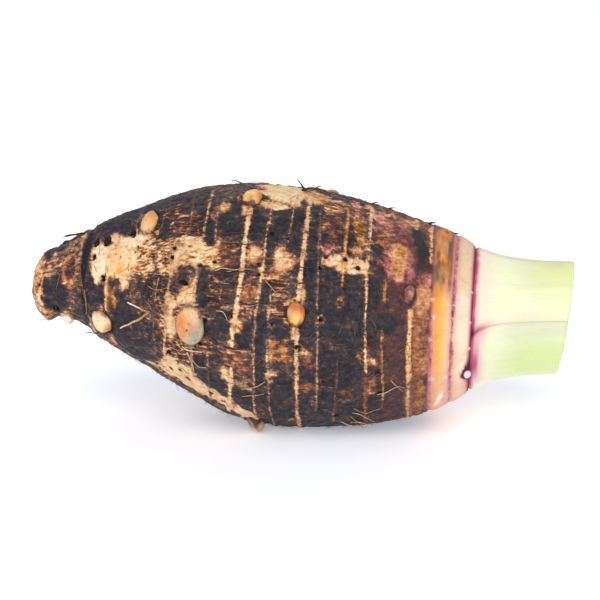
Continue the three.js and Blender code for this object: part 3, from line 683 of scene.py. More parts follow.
def rings(place, degrees, points):
    """Distance to the nearest ring's edge in mm, how much bark is left on it, its tint, how plainly it
    shows and the distance to its middle."""
    rise = np.sin(np.radians(degrees))
    sway = 0.45 * blobs(points, 20, 301) + 0.22 * blobs(points, 6, 302)
    fade = cloud(points, (30, 7, 7), 303, 2)
    grain = cloud(points, (30, 2.6, 2.6), 304, 2)
    front = step(102, 92, np.abs(turn_between(degrees, FACING)))
    edge = np.full(place.shape, FAR)
    middle = np.full(place.shape, FAR)
    left = np.zeros(place.shape)
    shown = np.zeros(place.shape)
    tint = np.zeros((3, *place.shape))
    for x0, up, down, width, level, kind, stretches in RINGS:
        away = place - (x0 + np.where(rise > 0, up, down) * np.abs(rise) + sway)
        arc = sum(step(-4, 3, (high - low) / 2 - np.abs(turn_between(degrees, (low + high) / 2)))
                  for low, high in stretches)
        chance = step(-0.35, 0.2, fade + 0.3 * math.sin(x0))
        visible = front * np.clip(arc, 0, 1) + (1 - front) * chance
        half = 0.5 * width * (0.3 + 0.7 * visible) * (1 + 0.5 * fade + 0.25 * grain)
        reach = np.abs(away) + 0.15 - half
        reach = reach + 4 * (1 - step(0.05, 0.5, visible))
        nearer = reach < edge
        edge = np.where(nearer, reach, edge)
        shown = np.where(nearer, visible, shown)
        left = np.where(nearer, level + 0.12 * fade + 0.10 * grain, left)
        middle = np.where(nearer, away, middle)
        tint = np.where(nearer, np.array(TINTS[kind][:3])[:, None, None], tint)
    return edge, left, tint, shown, middle


def bud_reach(place, degrees, radius):
    """Distance from the nearest bud's middle, as a share of its half size, how deep its collar is, and how
    far towards the crown and downwards it lies, from -1 to 1."""
    nearest = np.full(place.shape, FAR)
    collar, side = np.zeros(place.shape), np.zeros(place.shape)
    for x0, angle, length, width, height, *_ in BUDS:
        u = (place - x0) / (length / 2)
        v = np.radians(turn_between(degrees, angle)) * radius / (width / 2)
        reach = np.hypot(u, v)
        collar = np.where(reach < nearest, step(1.0, 3.0, height), collar)
        side = np.where(reach < nearest, (u - 0.35 * v) / np.maximum(reach, 0.1), side)
        nearest = np.minimum(nearest, reach)
    return nearest, collar, side


def scar_rim(place, degrees, radius):
    """Where the raised rims of scars are, and where their sunken middles are, both from 0 to 1."""
    rim, sunken = np.zeros(place.shape), np.zeros(place.shape)
    for scar in SCARS:
        depth = patch_depth(place, degrees, radius, scar) / scar[2]
        rim = np.maximum(rim, hump(depth - 0.12, 0.24))
        sunken = np.maximum(sunken, step(0.3, 0.6, depth))
    return rim, sunken


def band_colour(place, degrees, points):
    """The colours of the bands by the crown, worn brown in places along the upper front."""
    at, *columns = zip(*BANDS)
    above, front, below = (
        np.stack([np.interp(place, at, part) for part in np.transpose([linear(c) for c in shades])], -1)
        for shades in columns)
    turn = turn_between(degrees, 0) + 5 * blobs(points, 9, 61)
    behind_top = step(150, 120, turn)
    colour = layered(front, (below, step(-10, -40, turn) * step(-180, -140, turn)),
                     (above, step(26, 38, turn) * behind_top))
    shift, swing = 0.8 * blobs(points, 3, 62), 6 * blobs(points, 4, 67)
    for *spot, shade in BLOTCHES:
        depth = patch_depth(place + shift, degrees + swing, corm_radius(place), spot)
        colour = blend(colour, linear(shade), 0.9 * step(-0.8, 1.0, depth))
    # The gold band is worn in hoops along its top, and its pale diagonal streak is a painted highlight;
    #     # a dark plum patch lies by the crown, round the sap bead.
    worn = step(4.0, 3.0, np.abs(place - GOLD_BAND)) * step(28, 38, turn) * behind_top
    hoops = cloud(points, (1.3, 7, 7), 63)
    streak = hump(place - 165.0 - 0.14 * (turn + 50), 0.8) * hump(turn + 50, 8)
    plum = hump(turn + 28, 11) * step(175.0, 175.8, place + 2.1 * hump(turn + 28, 7))
    colour = layered(colour, ("#6E4836", 0.8 * worn * step(-0.1, 0.4, hoops)),
                     ("#E8A860", 0.5 * worn * step(-0.2, -0.6, hoops)),
                     ("#F8ECE0", 1.6 * streak), ("#4C1A34", 1.3 * plum))
    for x0, angle, size in SAP_DOTS:
        away = np.hypot(place - x0, np.radians(turn_between(degrees, angle)) * corm_radius(place))
        colour = blend(colour, linear("#F2D6D4"), step(size * 1.1, size * 0.5, away))
    return colour


# ---------------------------------------------------------------- meshes

def put(name, data):
    """A new object in the scene."""
    obj = bpy.data.objects.new(name, data)
    bpy.context.scene.collection.objects.link(obj)
    return obj


def piece(name, places, faces, material, replaced=()):
    """A smooth mesh piece, given by its laid places in mm, that rides with the root's one body."""
    mesh = bpy.data.meshes.new(name)
    mesh.from_pydata((places * MM).tolist(), [], faces)
    mesh.shade_smooth()
    mesh.materials.append(material)
    mesh.update()
    obj = put(name, mesh)
    settle(obj, replaced)
    return obj


def settle(obj, replaced=()):
    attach(obj, "root")
    if replaced:
        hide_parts(*replaced)


def paint(obj, name, values):
    """Store one number, or one colour, for each vertex."""
    values = np.asarray(values, np.float32)
    kind, key = ("FLOAT", "value") if values.ndim == 1 else ("FLOAT_VECTOR", "vector")
    obj.data.attributes.new(name, kind, "POINT").data.foreach_set(key, values.ravel())


def band(start_a, start_b, count):
    """Quads between two loops of vertices that are given by their first numbers."""
    return [(start_a + i, start_a + (i + 1) % count, start_b + (i + 1) % count, start_b + i)
            for i in range(count)]


def bands(rows, count):
    """Quads over a grid of vertices whose rows close round."""
    return [face for row in range(rows - 1) for face in band((row + 1) * count, row * count, count)]


def capped_bands(rows, count):
    """The same, and a fan over each end to the two vertices that follow the grid."""
    last = (rows - 1) * count
    first_end, last_end = rows * count, rows * count + 1
    fans = [(i, (i + 1) % count, first_end) for i in range(count)]
    fans += [(last + (i + 1) % count, last + i, last_end) for i in range(count)]
    return bands(rows, count) + fans


def turned_over(faces):
    return [face[::-1] for face in faces]


def capped(grid, first, last):
    """A grid of values as one list, followed by those of the two end vertices."""
    return np.concatenate([grid.reshape(-1, *grid.shape[2:]), [first, last]])


# ---------------------------------------------------------------- materials

# Settings that many nodes share: a ramp that starts and ends gently, and mixing of colours, not numbers.
GENTLY = {"interpolation_type": "SMOOTHSTEP"}
COLOURS = {"out": 2, "data_type": "RGBA"}


def add_node(tree, kind, feeds=(), out=0, stops=(), **settings):
    """Add one node to a tree and give back one of its outputs. Feeds go into its inputs in order, or by
    name or number: an output of another node is linked and a value is set. Stops are a ramp's places and
    colours."""
    family = next(f for f in ("Shader", "Geometry", "Function") if hasattr(bpy.types, f"{f}Node{kind}"))
    node = tree.nodes.new(f"{family}Node{kind}")
    for key, value in settings.items():
        setattr(node, key, value)
    for key, value in feeds.items() if isinstance(feeds, dict) else enumerate(feeds):
        socket = node.inputs[key]
        if isinstance(value, bpy.types.NodeSocket):
            tree.links.new(value, socket)
        else:
            socket.default_value = rgba(value) if socket.type == "RGBA" else value
    for i, (place, colour) in enumerate(stops):
        ramp = node.color_ramp.elements
        stop = ramp[i] if i < len(ramp) else ramp.new(place)
        stop.position, stop.color = place, rgba(colour)
    return node if out is None or not node.outputs else node.outputs[out]


def new_material(name):
    """What adds nodes to a new material, and what finishes it with the surface shader's feeds."""
    material = bpy.data.materials.new(name)
    material.use_nodes = True
    material.node_tree.nodes.clear()
    add = functools.partial(add_node, material.node_tree)

    def finish(feeds):
        surface = add("BsdfPrincipled", feeds)
        add("OutputMaterial", {"Surface": surface})
        return material

    return add, finish


def textures(add, where, sizes):
    """Noise textures on some coordinates; each has its blobs' size along x, y and z, in the same unit."""
    noise = {}
    for name, size in sizes.items():
        spot = add("Mapping", {"Vector": where, "Scale": [1 / s for s in size]})
        noise[name] = add("TexNoise", {"Vector": spot, "Scale": 1.0, "Detail": 3.0, "Roughness": 0.6})
    return noise


# The colours of bark at steps from bare flesh to full cork, one row for each tint.
BARK_LEFT = (0.0, 0.10, 0.20, 0.30, 0.42, 0.56, 0.74, 1.0)
BARK = {
    "plain": ("#F2DFBE", "#EDCB9C", "#DFB082", "#B4855F", "#6E5346", "#473B3C", "#302D33", "#1F1C24"),
    "rusty": ("#EED0A4", "#E3B280", "#CE8E5E", "#AA6C48", "#7A4A38", "#503530", "#352729", "#211B1D"),
    "amber": ("#F0D49C", "#E2AE62", "#CC8438", "#A5662A", "#744720", "#4E3420", "#362820", "#211B1D"),
    "pink": ("#EED0B8", "#DDA094", "#C07670", "#9A5456", "#6C3F3C", "#4E3434", "#382A2E", "#211B1D"),
}


def bark_left(add, skin, field, noise):
    """How much bark is left: flesh is even, and bark is ragged with flecks, plates, fibres and veins."""
    left = field["left"]
    uneven = add("MapRange", (left, 0.0, 0.4, 0.45, 1.0))
    uneven = add("Math", (uneven, add("MapRange", (field["young"], 0.0, 1.0, 1.0, 0.5))),
                 operation="MULTIPLY")
    streaky = add("Math", (field["fibrous"], 1.8, 0.4), operation="MULTIPLY_ADD")
    grainy = add("Math", (field["fibrous"], -0.5, 0.85), operation="MULTIPLY_ADD")
    for name, reach in (("fleck", grainy), ("speck", grainy), ("plate", 0.7), ("worn", 0.3),
                        ("fibre", streaky)):
        swing = add("Math", (noise[name], 0.5), operation="SUBTRACT")
        swing = add("Math", (swing, uneven), operation="MULTIPLY")
        left = add("Math", (swing, reach, left), operation="MULTIPLY_ADD")

    # A net of fine pale veins where the bark is fibrous.
    spot = add("Mapping", {"Vector": skin, "Scale": (1 / 5.0, 1 / 3.2, 1 / 3.2)})
    spot = add("VectorMath", (spot, add("TexNoise", {"Vector": spot, "Scale": 1.4}, out=1)))
    vein = add("TexVoronoi", {"Vector": spot, "Scale": 1.0}, feature="DISTANCE_TO_EDGE")
    vein = add("MapRange", (vein, 0.08, 0.0, 0.0, 0.22))
    vein = add("Math", (vein, field["fibrous"]), operation="MULTIPLY")
    return add("Math", (left, vein), operation="SUBTRACT")


def bark_marks(add, left, field, noise):
    """Leaf-scar rings and the holes of dead roots, with ragged edges, and how much bark is left now."""
    ragged = add("Math", (noise["fleck"], 1.2, field["ring"]), operation="MULTIPLY_ADD")
    ragged = add("Math", (noise["hoop"], 1.0, ragged), operation="MULTIPLY_ADD")
    ring = add("MapRange", (ragged, 1.7, 0.65, 0.0, 1.0), **GENTLY)
    tie = add("MapRange", (noise["fibre"], 0.58, 0.68, 1.0, 0.25), **GENTLY)
    ring = add("Math", (ring, tie), operation="MULTIPLY")
    on_ring = add("Math", (noise["speck"], 0.5), operation="SUBTRACT")
    on_ring = add("Math", (on_ring, 0.7, field["ring_left"]), operation="MULTIPLY_ADD")
    left = add("Mix", {0: ring, 2: left, 3: on_ring})
    ragged = add("Math", (noise["fleck"], 1.0, field["pit"]), operation="MULTIPLY_ADD")
    pit = add("MapRange", (ragged, 0.35, 0.85, 0.0, 1.0), **GENTLY)
    return left, ring, pit


def young_skin(add, ring, field, noise):
    """The young bands by the crown: smoother skin with soft flecks, and wine-red lines between them."""
    colour = add("Attribute", out="Color", attribute_name="band_colour")
    share = add("MapRange", (noise["plate"], 0.48, 0.66, 0.0, 0.2), **GENTLY)
    colour = add("Mix", {0: share, 6: colour, 7: "#C88A5E"}, blend_type="MULTIPLY", **COLOURS)
    halo = add("MapRange", (field["ring"], 2.0, 0.2, 0.0, 0.45), **GENTLY)
    colour = add("Mix", {0: halo, 6: colour, 7: "#DC9A98"}, **COLOURS)
    wine_red = ((0.34, "#84384A"), (0.5, "#AE5A66"), (0.66, "#D28C8A"))
    line = add("ValToRGB", (noise["speck"],), stops=wine_red)
    return add("Mix", {0: ring, 6: colour, 7: line}, **COLOURS)


def corky_bark():
    """Cork, as it dries on a dug and rinsed taro: thin dark plates with a dull sheen, worn through brown
    and tan to cream flesh, and cream scars where the leaves were."""
    add, finish = new_material("corky_bark")
    skin = add("Attribute", out="Vector", attribute_name="skin")
    field = {name: add("Attribute", out="Fac", attribute_name=name)
             for name in ("left", "rusty", "amber", "pink", "fibrous", "ring", "ring_left", "pit", "band",
                          "young", "hollow")}
    # Flecks are really about 0.5 mm across; they are drawn twice as coarse, so that they show.
    noise = textures(add, skin, {"fleck": (1.1, 1.0, 1.0), "speck": (2.4, 2.0, 2.0), "plate": (6, 4, 4),
                                 "fibre": (8, 1.0, 1.0), "hoop": (0.7, 5, 5), "worn": (11, 8, 8),
                                 "warm": (3.6, 2.8, 2.8)})
    left, ring, pit = bark_marks(add, bark_left(add, skin, field, noise), field, noise)

    # The dark cork itself turns from charcoal to rust brown every few millimetres.
    warm = add("MapRange", (noise["warm"], 0.48, 0.66, 0.0, 0.6))
    tinted = dict(field, rusty=add("Math", (field["rusty"], warm), use_clamp=True))
    colour = add("ValToRGB", (left,), stops=tuple(zip(BARK_LEFT, BARK["plain"])))
    for tint in ("rusty", "amber", "pink"):
        bark = add("ValToRGB", (left,), stops=tuple(zip(BARK_LEFT, BARK[tint])))
        colour = add("Mix", {0: tinted[tint], 6: colour, 7: bark}, **COLOURS)
    young = young_skin(add, ring, field, noise)
    colour = add("Mix", {0: field["band"], 6: colour, 7: young}, **COLOURS)
    colour = add("Mix", {0: pit, 6: colour, 7: "#1A1210"}, **COLOURS)
    # Painted shade: the colour is darkened in the sunken places and round the feet of tall buds.
    colour = add("Mix", {0: field["hollow"], 6: colour, 7: "#4A3A38"}, blend_type="MULTIPLY", **COLOURS)

    height = add("Math", (pit, -0.6, left), operation="MULTIPLY_ADD")
    height = add("Math", (ring, 0.5, height), operation="MULTIPLY_ADD")
    old = add("Math", (1.0, field["band"]), operation="SUBTRACT")
    height = add("Math", (height, old), operation="MULTIPLY")
    rough = add("MapRange", (noise["speck"], 0.3, 0.7, 0.5, 0.72))
    return finish({"Base Color": colour, "Roughness": rough, "Specular IOR Level": 0.22,
                   "Normal": add("Bump", {"Strength": 0.6, "Distance": 0.9 * MM, "Height": height})})


def bud_scale():
    """Young bud scales: smooth, waxy and a little see-through, with dry brown rims."""
    add, finish = new_material("waxy_bud_scale")
    skin = add("Attribute", out="Vector", attribute_name="skin")
    noise = textures(add, skin, {"fleck": (1.0, 1.0, 1.0), "streak": (3.4, 0.9, 0.9), "soft": (3, 3, 3)})
    colour = add("Attribute", out="Color", attribute_name="scale_colour")
    for name, none, full, strongest, stain, way in (("streak", 0.5, 0.72, 0.3, "#C08A5C", "MULTIPLY"),
                                                    ("soft", 0.48, 0.7, 0.22, "#F0DCB4", "MIX"),
                                                    ("fleck", 0.44, 0.3, 0.6, "#B87848", "MULTIPLY")):
        share = add("MapRange", (noise[name], none, full, 0.0, strongest), **GENTLY)
        colour = add("Mix", {0: share, 6: colour, 7: stain}, blend_type=way, **COLOURS)
    rim = add("Attribute", out="Fac", attribute_name="rim")
    rim = add("Math", (noise["fleck"], 1.2, rim), operation="MULTIPLY_ADD")
    rim = add("MapRange", (rim, 0.8, 1.5, 0.0, 1.0), **GENTLY)
    rim_colour = add("Attribute", out="Color", attribute_name="rim_colour")
    colour = add("Mix", {0: rim, 6: colour, 7: rim_colour}, **COLOURS)
    rough = add("MapRange", (noise["fleck"], 0.3, 0.7, 0.36, 0.6))
    height = add("Math", (noise["streak"], noise["fleck"]))
    return finish({"Base Color": colour, "Roughness": rough, "Subsurface Weight": 0.15,
                   "Subsurface Radius": (1.0, 0.5, 0.25), "Subsurface Scale": 1.5 * MM,
                   "Normal": add("Bump", {"Strength": 0.35, "Distance": 0.4 * MM, "Height": height})})


def fresh_stalk():
    """Fresh leaf-stalk skin: smooth, moist and satin, pink where it joins the crown and green further out,
    with fine ribs along it. The cut end is spongy, with air canals and small vein ends."""
    add, finish = new_material("fresh_leaf_stalk")
    skin = add("Attribute", out="Vector", attribute_name="skin")
    noise = textures(add, skin, {"rib": (30, 0.9, 0.9), "soft": (16, 5, 5)})
    colour = add("Attribute", out="Color", attribute_name="stalk_colour")
    share = add("MapRange", (noise["rib"], 0.48, 0.7, 0.0, 0.2), **GENTLY)
    colour = add("Mix", {0: share, 6: colour, 7: "#E9EFC4"}, blend_type="MULTIPLY", **COLOURS)
    share = add("MapRange", (noise["soft"], 0.5, 0.72, 0.0, 0.25), **GENTLY)
    place = add("SeparateXYZ", (skin,))
    green = add("MapRange", (place, CORM_LENGTH + 4, CORM_LENGTH + 12, 0.0, 1.0))
    share = add("Math", (share, green), operation="MULTIPLY")
    colour = add("Mix", {0: share, 6: colour, 7: "#F0E8A4"}, **COLOURS)

    cut = add("Attribute", out="Fac", attribute_name="cut")
    cut = add("MapRange", (cut, 0.35, 0.65, 0.0, 1.0), **GENTLY)
    holes = []
    for size, inner, outer in ((1.1, 0.36, 0.2), (2.6, 0.2, 0.1)):
        spot = add("Mapping", {"Vector": skin, "Scale": (1 / 400, 1 / size, 1 / size)})
        cell = add("TexVoronoi", {"Vector": spot, "Scale": 1.0})
        holes.append(add("MapRange", (cell, inner, outer, 0.0, 1.0), **GENTLY))
    air_canals, veins = holes
    face = add("Mix", {0: air_canals, 6: "#F1F1D6", 7: "#C6CF9C"}, **COLOURS)
    face = add("Mix", {0: veins, 6: face, 7: "#B89E6C"}, **COLOURS)
    colour = add("Mix", {0: cut, 6: colour, 7: face}, **COLOURS)
    sunken = add("Math", (air_canals, cut), operation="MULTIPLY")
    height = add("Math", (sunken, -2.0, noise["rib"]), operation="MULTIPLY_ADD")
    rough = add("MapRange", (cut, 0.0, 1.0, 0.38, 0.7))
    return finish({"Base Color": colour, "Roughness": rough, "Subsurface Weight": 0.2,
                   "Subsurface Radius": (1.0, 0.9, 0.4), "Subsurface Scale": 2.5 * MM,
                   "Normal": add("Bump", {"Strength": 0.4, "Distance": 0.4 * MM, "Height": height})})


def dry_root():
    """Dead rootlets and root hairs: thin brown skin over a pale woody thread, matt, with bleached ends."""
    add, finish = new_material("dry_rootlet")
    where = add("TexCoord", out="Object")
    noise = textures(add, where, {"fleck": (0.8 * MM, 0.8 * MM, 0.8 * MM)})
    tone = add("Attribute", out="Fac", attribute_name="tone")
    tone = add("Math", (noise["fleck"], 0.6, tone), operation="MULTIPLY_ADD")
    tone = add("Math", (tone, 0.3), operation="SUBTRACT")
    colour = add("ValToRGB", (tone,), stops=((0.0, "#241B18"), (0.3, "#5E402C"), (0.6, "#B07F52"),
                                             (0.85, "#E2C8A0"), (1.0, "#F3E9D6")))
    return finish({"Base Color": colour, "Roughness": 0.75,
                   "Normal": add("Bump", {"Strength": 0.4, "Distance": 0.2 * MM, "Height": tone})})


def clear_sap():
    """A bead of clear sap, glossy and only a little see-through: its near-white colour is a painted
    highlight, and its pink tint is the wine-red skin under it, painted in as if seen through.
    """
    add, finish = new_material("clear_sap")
    where = add("TexCoord", out="Object")
    noise = textures(add, where, {"swirl": (1.5 * MM, 1.5 * MM, 1.5 * MM)})
    colour = add("Mix", {0: noise["swirl"], 6: "#FDEEF7", 7: "#E6C2DA"}, **COLOURS)
    return finish({"Base Color": colour, "Roughness": 0.05, "IOR": 1.36, "Transmission Weight": 0.12})


def white_acrylic():
    """A matt white acrylic sheet, lit softly from below, so that the shadows on it stay light."""
    add, finish = new_material("white_acrylic")
    where = add("TexCoord", out="Object")
    noise = textures(add, where, {"grain": (0.02, 0.02, 0.02)})
    colour = add("Mix", {0: noise["grain"], 6: "#F7F8FB", 7: "#F9FAFC"}, **COLOURS)
    return finish({"Base Color": colour, "Roughness": 0.9, "Specular IOR Level": 0.1,
                   "Emission Color": "#EEF4FF", "Emission Strength": 0.33})


# ---------------------------------------------------------------- corm

CORM_ROWS = 254
CORM_COLUMNS = 384
CAP_ROWS = 16


def corm_grid():
    """Distances from the tip and angles of the skin's vertices, row by row."""
    quarter = (np.arange(CAP_ROWS) + 0.6) / CAP_ROWS * (math.pi / 2)
    cap = TIP_LENGTH * (1 - np.cos(quarter))
    body = np.linspace(TIP_LENGTH, CORM_LENGTH, CORM_ROWS - CAP_ROWS)
    degrees = np.arange(CORM_COLUMNS) * 360 / CORM_COLUMNS
    return np.meshgrid(np.concatenate([cap, body]), degrees, indexing="ij")


def corm_relief(place, degrees, points, fields):
    """How far, in mm, the grown surface stands off the smooth shape."""
    left, shown, middle, pit, young = (fields[k] for k in ("left", "shown", "middle", "pit", "young"))
    (reach, collar), (rim, sunken) = fields["bud"], fields["scar"]
    old = 1 - young
    relief = 0.34 * cloud(points, 11, 12) + 0.16 * cloud(points, 3.4, 13)
    relief = 0.5 * blobs(points, 30, 11) + old * relief
    relief = relief + old * 0.14 * cloud(points, (9, 1.8, 1.8), 14, 2)
    relief = relief + 0.5 * old * (step(0.2, 0.75, left + 0.25 * cloud(points, 2.2, 15)) - 0.5)
    relief = relief + old * shown * (0.3 * hump(middle, 0.9) - 0.34 * hump(np.abs(middle) - 2.0, 0.8))
    relief = relief - 1.1 * step(-0.3, 0.6, pit)
    relief = relief + collar * (0.7 * hump(reach - 1.12, 0.16) - 0.5 * step(1.02, 0.8, reach))
    relief = relief + 0.55 * rim - 0.5 * sunken
    # The dead tip: a broken rim, a neck behind it and scabby bark on top.
    below = step(10, -40, turn_between(degrees, 0))
    relief = relief + 1.0 * below * hump(place - 6.4, 2.0) - 1.6 * below * hump(place - 10.8, 2.4)
    relief = relief - 1.0 * below * hump(place - 17, 4)
    above = step(40, 80, turn_between(degrees, 0)) * step(150, 120, turn_between(degrees, 0))
    scabs = step(4, 8, place) * step(26, 18, place)
    relief = relief + scabs * (0.9 * above + 0.4) * cloud(points, 4.2, 16)
    relief = relief + step(9, 3, place) * 0.5 * cloud(points, 3.0, 17)
    # The dark groove round the neck, and the grooves between the young bands, which swell a little.
    relief = relief - 0.8 * hump(place - 23.2, 1.3)
    relief = relief - 0.6 * hump(middle, 0.8) * step(155, 159, place)
    relief = relief + young * 0.2 * (hump(place - 164.3, 3) + hump(place - 172.0, 3))
    # The last band rolls in to meet the leaf stalk.
    return relief * step(CORM_LENGTH + 2, CORM_LENGTH - 5, place) - 0.7 * step(175.4, CORM_LENGTH, place)


def make_corm(material):
    """The whole bark as one closed skin, with what the material needs to know stored on its vertices."""
    place, degrees = corm_grid()
    smooth = skin_point(place, degrees)
    radius = corm_radius(place)
    left, tint = worn_bark(place, degrees, smooth, radius)
    ring, ring_left, ring_tint, shown, middle = rings(place, degrees, smooth)
    tint[:3] += (ring_tint - tint[:3]) * step(1.6, 0.4, ring)
    pit = np.max([patch_depth(place, degrees, radius, spot) for spot in PITS], axis=0)
    reach, collar, side = bud_reach(place, degrees, radius)
    rim, sunken = scar_rim(place, degrees, radius)
    fringe = collar * hump(reach - 1.2, 0.16) * step(0.7, -0.5, side)
    fringe = fringe * step(-0.5, 0.2, cloud(smooth, 3.5, 65))
    left = left + (0.16 - left) * 0.9 * fringe
    left = left + (0.24 - left) * 0.95 * rim + 0.6 * sunken * (0.66 - left)
    young = step(160.2, 161.2, place + 0.3 * blobs(smooth, 3, 64))
    fields = {"left": left, "shown": shown, "middle": middle, "pit": pit, "bud": (reach, collar),
              "scar": (rim, sunken), "young": young}
    relief = corm_relief(place, degrees, smooth, fields)
    surface = smooth + skin_normal(place, degrees) * relief[..., None]
    vertices = capped(surface, surface[0].mean(0) - [0.1, 0, 0], surface[-1].mean(0))
    faces = capped_bands(CORM_ROWS, CORM_COLUMNS)
    obj = piece("corm_bark", laid(vertices), faces, material, ("corm",))

    # Painted shade: the colour darkens where the skin is sunk, and in a ring round the foot of each tall
    # bud, most on its crown side and below.
    hollow = np.clip(-0.5 * (relief + 0.7), 0, 1) * (1 - young)
    hollow = hollow + collar * hump(reach - 1.03, 0.16) * (0.4 + 0.6 * step(-0.4, 0.6, side))
    values = {"skin": smooth, "left": left, "rusty": tint[0], "amber": tint[1], "pink": tint[2],
              "fibrous": tint[3], "ring": ring, "ring_left": ring_left, "pit": pit, "band": young,
              "young": step(134, 152, place), "hollow": np.clip(hollow, 0, 1),
              "band_colour": band_colour(place, degrees, smooth)}
    for name, value in values.items():
        paint(obj, name, capped(value, value[0, 0], value[-1, -1]))
    unwrap(obj, CORM_ROWS, CORM_COLUMNS)
    return obj


def unwrap(obj, rows, columns):
    """A bake map that rolls the skin out flat: angle across, distance from the tip up."""
    corners = np.empty(len(obj.data.loops), int)
    obj.data.loops.foreach_get("vertex_index", corners)
    u = (corners % columns) / columns
    v = np.clip(corners // columns, 0, rows - 1) / (rows - 1)
    # Faces over the seam take their low corners a full turn on, and each end face points at its own place.
    face = np.repeat(np.arange(len(obj.data.polygons)), [len(p.vertices) for p in obj.data.polygons])
    on_seam = (np.bincount(face, u > 0.75) > 0) & (np.bincount(face, u < 0.25) > 0)
    u = np.where(on_seam[face] & (u < 0.25), u + 1, u)
    ends = corners >= rows * columns
    u = np.where(ends, (face % columns + 0.5) / columns, u)
    v = np.where(corners == rows * columns, 0, np.where(ends, 1, v))
    spots = np.stack([u * 0.98 + 0.005, v * 0.96 + 0.02], -1).astype(np.float32)
    obj.data.uv_layers.new(name="OFBake").uv.foreach_set("vector", spots.ravel())


# ---------------------------------------------------------------- side buds

BUD_RINGS = 36
BUD_SPOKES = 60
BUD_WRAP = 0.6 * math.pi
BUD_LEAN = 0.35
BUD_SUNK = 0.35
BUD_LOWEST = 0.1


def standing_on(spot, local, lift=0.0):
    """Places round a spot on the skin: the first axis runs towards the crown and the last one outwards."""
    normal = skin_normal(*spot)
    forward = unit(np.array([1.0, 0, 0]) - normal * normal[0])
    return skin_point(*spot, lift) + local @ np.stack([forward, np.cross(normal, forward), normal])


def bud_scales(ring, spoke, rim_side, lump):
    """How far two scales that lap from opposite sides stand off a bud, and where their edges are."""
    lift, edge = 0, 0
    for turn, start, thick, dark in ((0, 0.12, 0.05, 0.35), (180, 0.5, 0.035, 0.2)):
        way = spoke - math.radians(rim_side + 180 + turn)
        reach = ring * np.cos(way) + 0.35 * (ring * np.sin(way)) ** 2 + 0.12 * lump - start
        lift = lift + thick * step(-0.06, 0.05, reach) * (1 - 0.5 * step(0, 0.5, reach))
        edge = edge + dark * hump(reach + 0.02, 0.05)
    return lift, edge


def bud_colour(u, v, lump, ground, spots):
    """The ground colour with soft spots on it; the smallest spots have sharp edges."""
    colour = np.zeros((*u.shape, 3)) + linear(ground)
    for u0, v0, wide, tint in spots:
        warp = 1 if wide > 0.2 else 0
        away = np.hypot(u - u0 - (1 - warp) * 0.12 * lump, v - v0) / wide
        colour = blend(colour, linear(tint), step(1.3 + 0.3 * warp, 0.5 - 0.4 * warp, away))
    return colour


def make_bud(number, row, material):
    """A squat bud that grows out of its collar, with two scales that lap over it from opposite sides. It
    is spotted with soft colours and its rim is dry on one side."""
    x0, angle, length, width, height, ground, rim_side, rim_width, rim, spots = row
    spokes = np.arange(BUD_SPOKES) * 2 * math.pi / BUD_SPOKES
    ring, spoke = np.meshgrid(np.linspace(0, 1, BUD_RINGS), spokes, indexing="ij")
    flat = 0 * ring
    around = np.stack([ring * np.cos(spoke) * 3, ring * np.sin(spoke) * 3, flat], -1)
    lump = cloud(around, 2.5, 700 + number, 2)
    lift, edge = bud_scales(ring, spoke, rim_side, lump)
    swollen = 1 + lift + 0.1 * lump + 0.05 * ring * cloud(around, 1.1, 730 + number, 2)
    circle = np.stack([np.cos(spoke), np.sin(spoke), flat], -1)
    outline = 1 + 0.13 * step(0.4, 1, ring) * cloud(circle, 1.1, 760 + number, 2)
    sunk = BUD_SUNK * height
    top = (height + sunk) * np.cos(ring * BUD_WRAP) * swollen
    out = np.sin(ring * BUD_WRAP) * swollen * outline
    local = np.stack([length / 2 * out * np.cos(spoke) + BUD_LEAN * np.maximum(top, 0),
                      width / 2 * out * np.sin(spoke), top - sunk], -1)
    vertices = standing_on((x0, angle), local)
    root = vertices[-1].mean(0) - skin_normal(x0, angle) * 0.2
    skin = capped(vertices[1:], vertices[0, 0], root)
    faces = capped_bands(BUD_RINGS - 1, BUD_SPOKES)
    obj = piece(f"bud_scales_{number:02d}", laid(skin, BUD_LOWEST), faces, material,
                (f"side_bud_{number:02d}",))

    u = np.minimum(out, 1.2) * np.cos(spoke) + 0.12 * lump
    v = np.minimum(out, 1.2) * np.sin(spoke) + 0.12 * cloud(around, 2.0, 790 + number, 2)
    rim_reach = ring * np.cos(spoke - math.radians(rim_side)) + 0.2 * lump
    edge = np.maximum(edge, 1.2 * step(0.95 - rim_width, 1.15 - rim_width, rim_reach))
    # Tall buds also take the rim colour round their lower flanks: partly a dry edge, partly painted shade
    # where they meet the skin.
    edge = np.maximum(edge, 0.7 * step(0.44, 0.74, ring + 0.12 * lump) * step(1.0, 2.0, height))
    colour = bud_colour(u, v, lump, ground, spots)
    values = {"scale_colour": colour, "rim_colour": np.zeros(colour.shape) + linear(rim), "rim": edge}
    for name, value in values.items():
        paint(obj, name, capped(value[1:], value[0, 0], value[-1, 0]))
    paint(obj, "skin", skin)


# ---------------------------------------------------------------- leaf stalks

STALK_ROWS = 56
STALK_SIDES = 150
CUT_SLANT = 5.0
GAP, LAP_GAP = 0.3, 0.04
OUTER_BACK, OUTER_MARGIN, INNER_ROOM = 0.38, 0.08, 0.195
INNER_BACK, INNER_MARGIN, INNER_SLIT, HEART_RADIUS = 0.29, 0.09, 8.0, 0.5
SEAM_ROOT, SEAM_END, SEAM_BEND, LAP = 1.0, 12.0, 7.0, 14.0

# Shares of the length at the root and at the rounded rim of the cut, and how far in mm the outline is
# drawn in there.
ROOT_SHARES, ROOT_INSETS = (-0.05, -0.02, 0.004), (1.9, 1.2, 0.35)
RIM_SHARES, RIM_INSETS = (0.992, 0.997, 1.0), (0.1, 0.28, 0.62)


def stub_radius(place):
    return float(along(STUB_SECTIONS, np.array([place]), 1)[0])


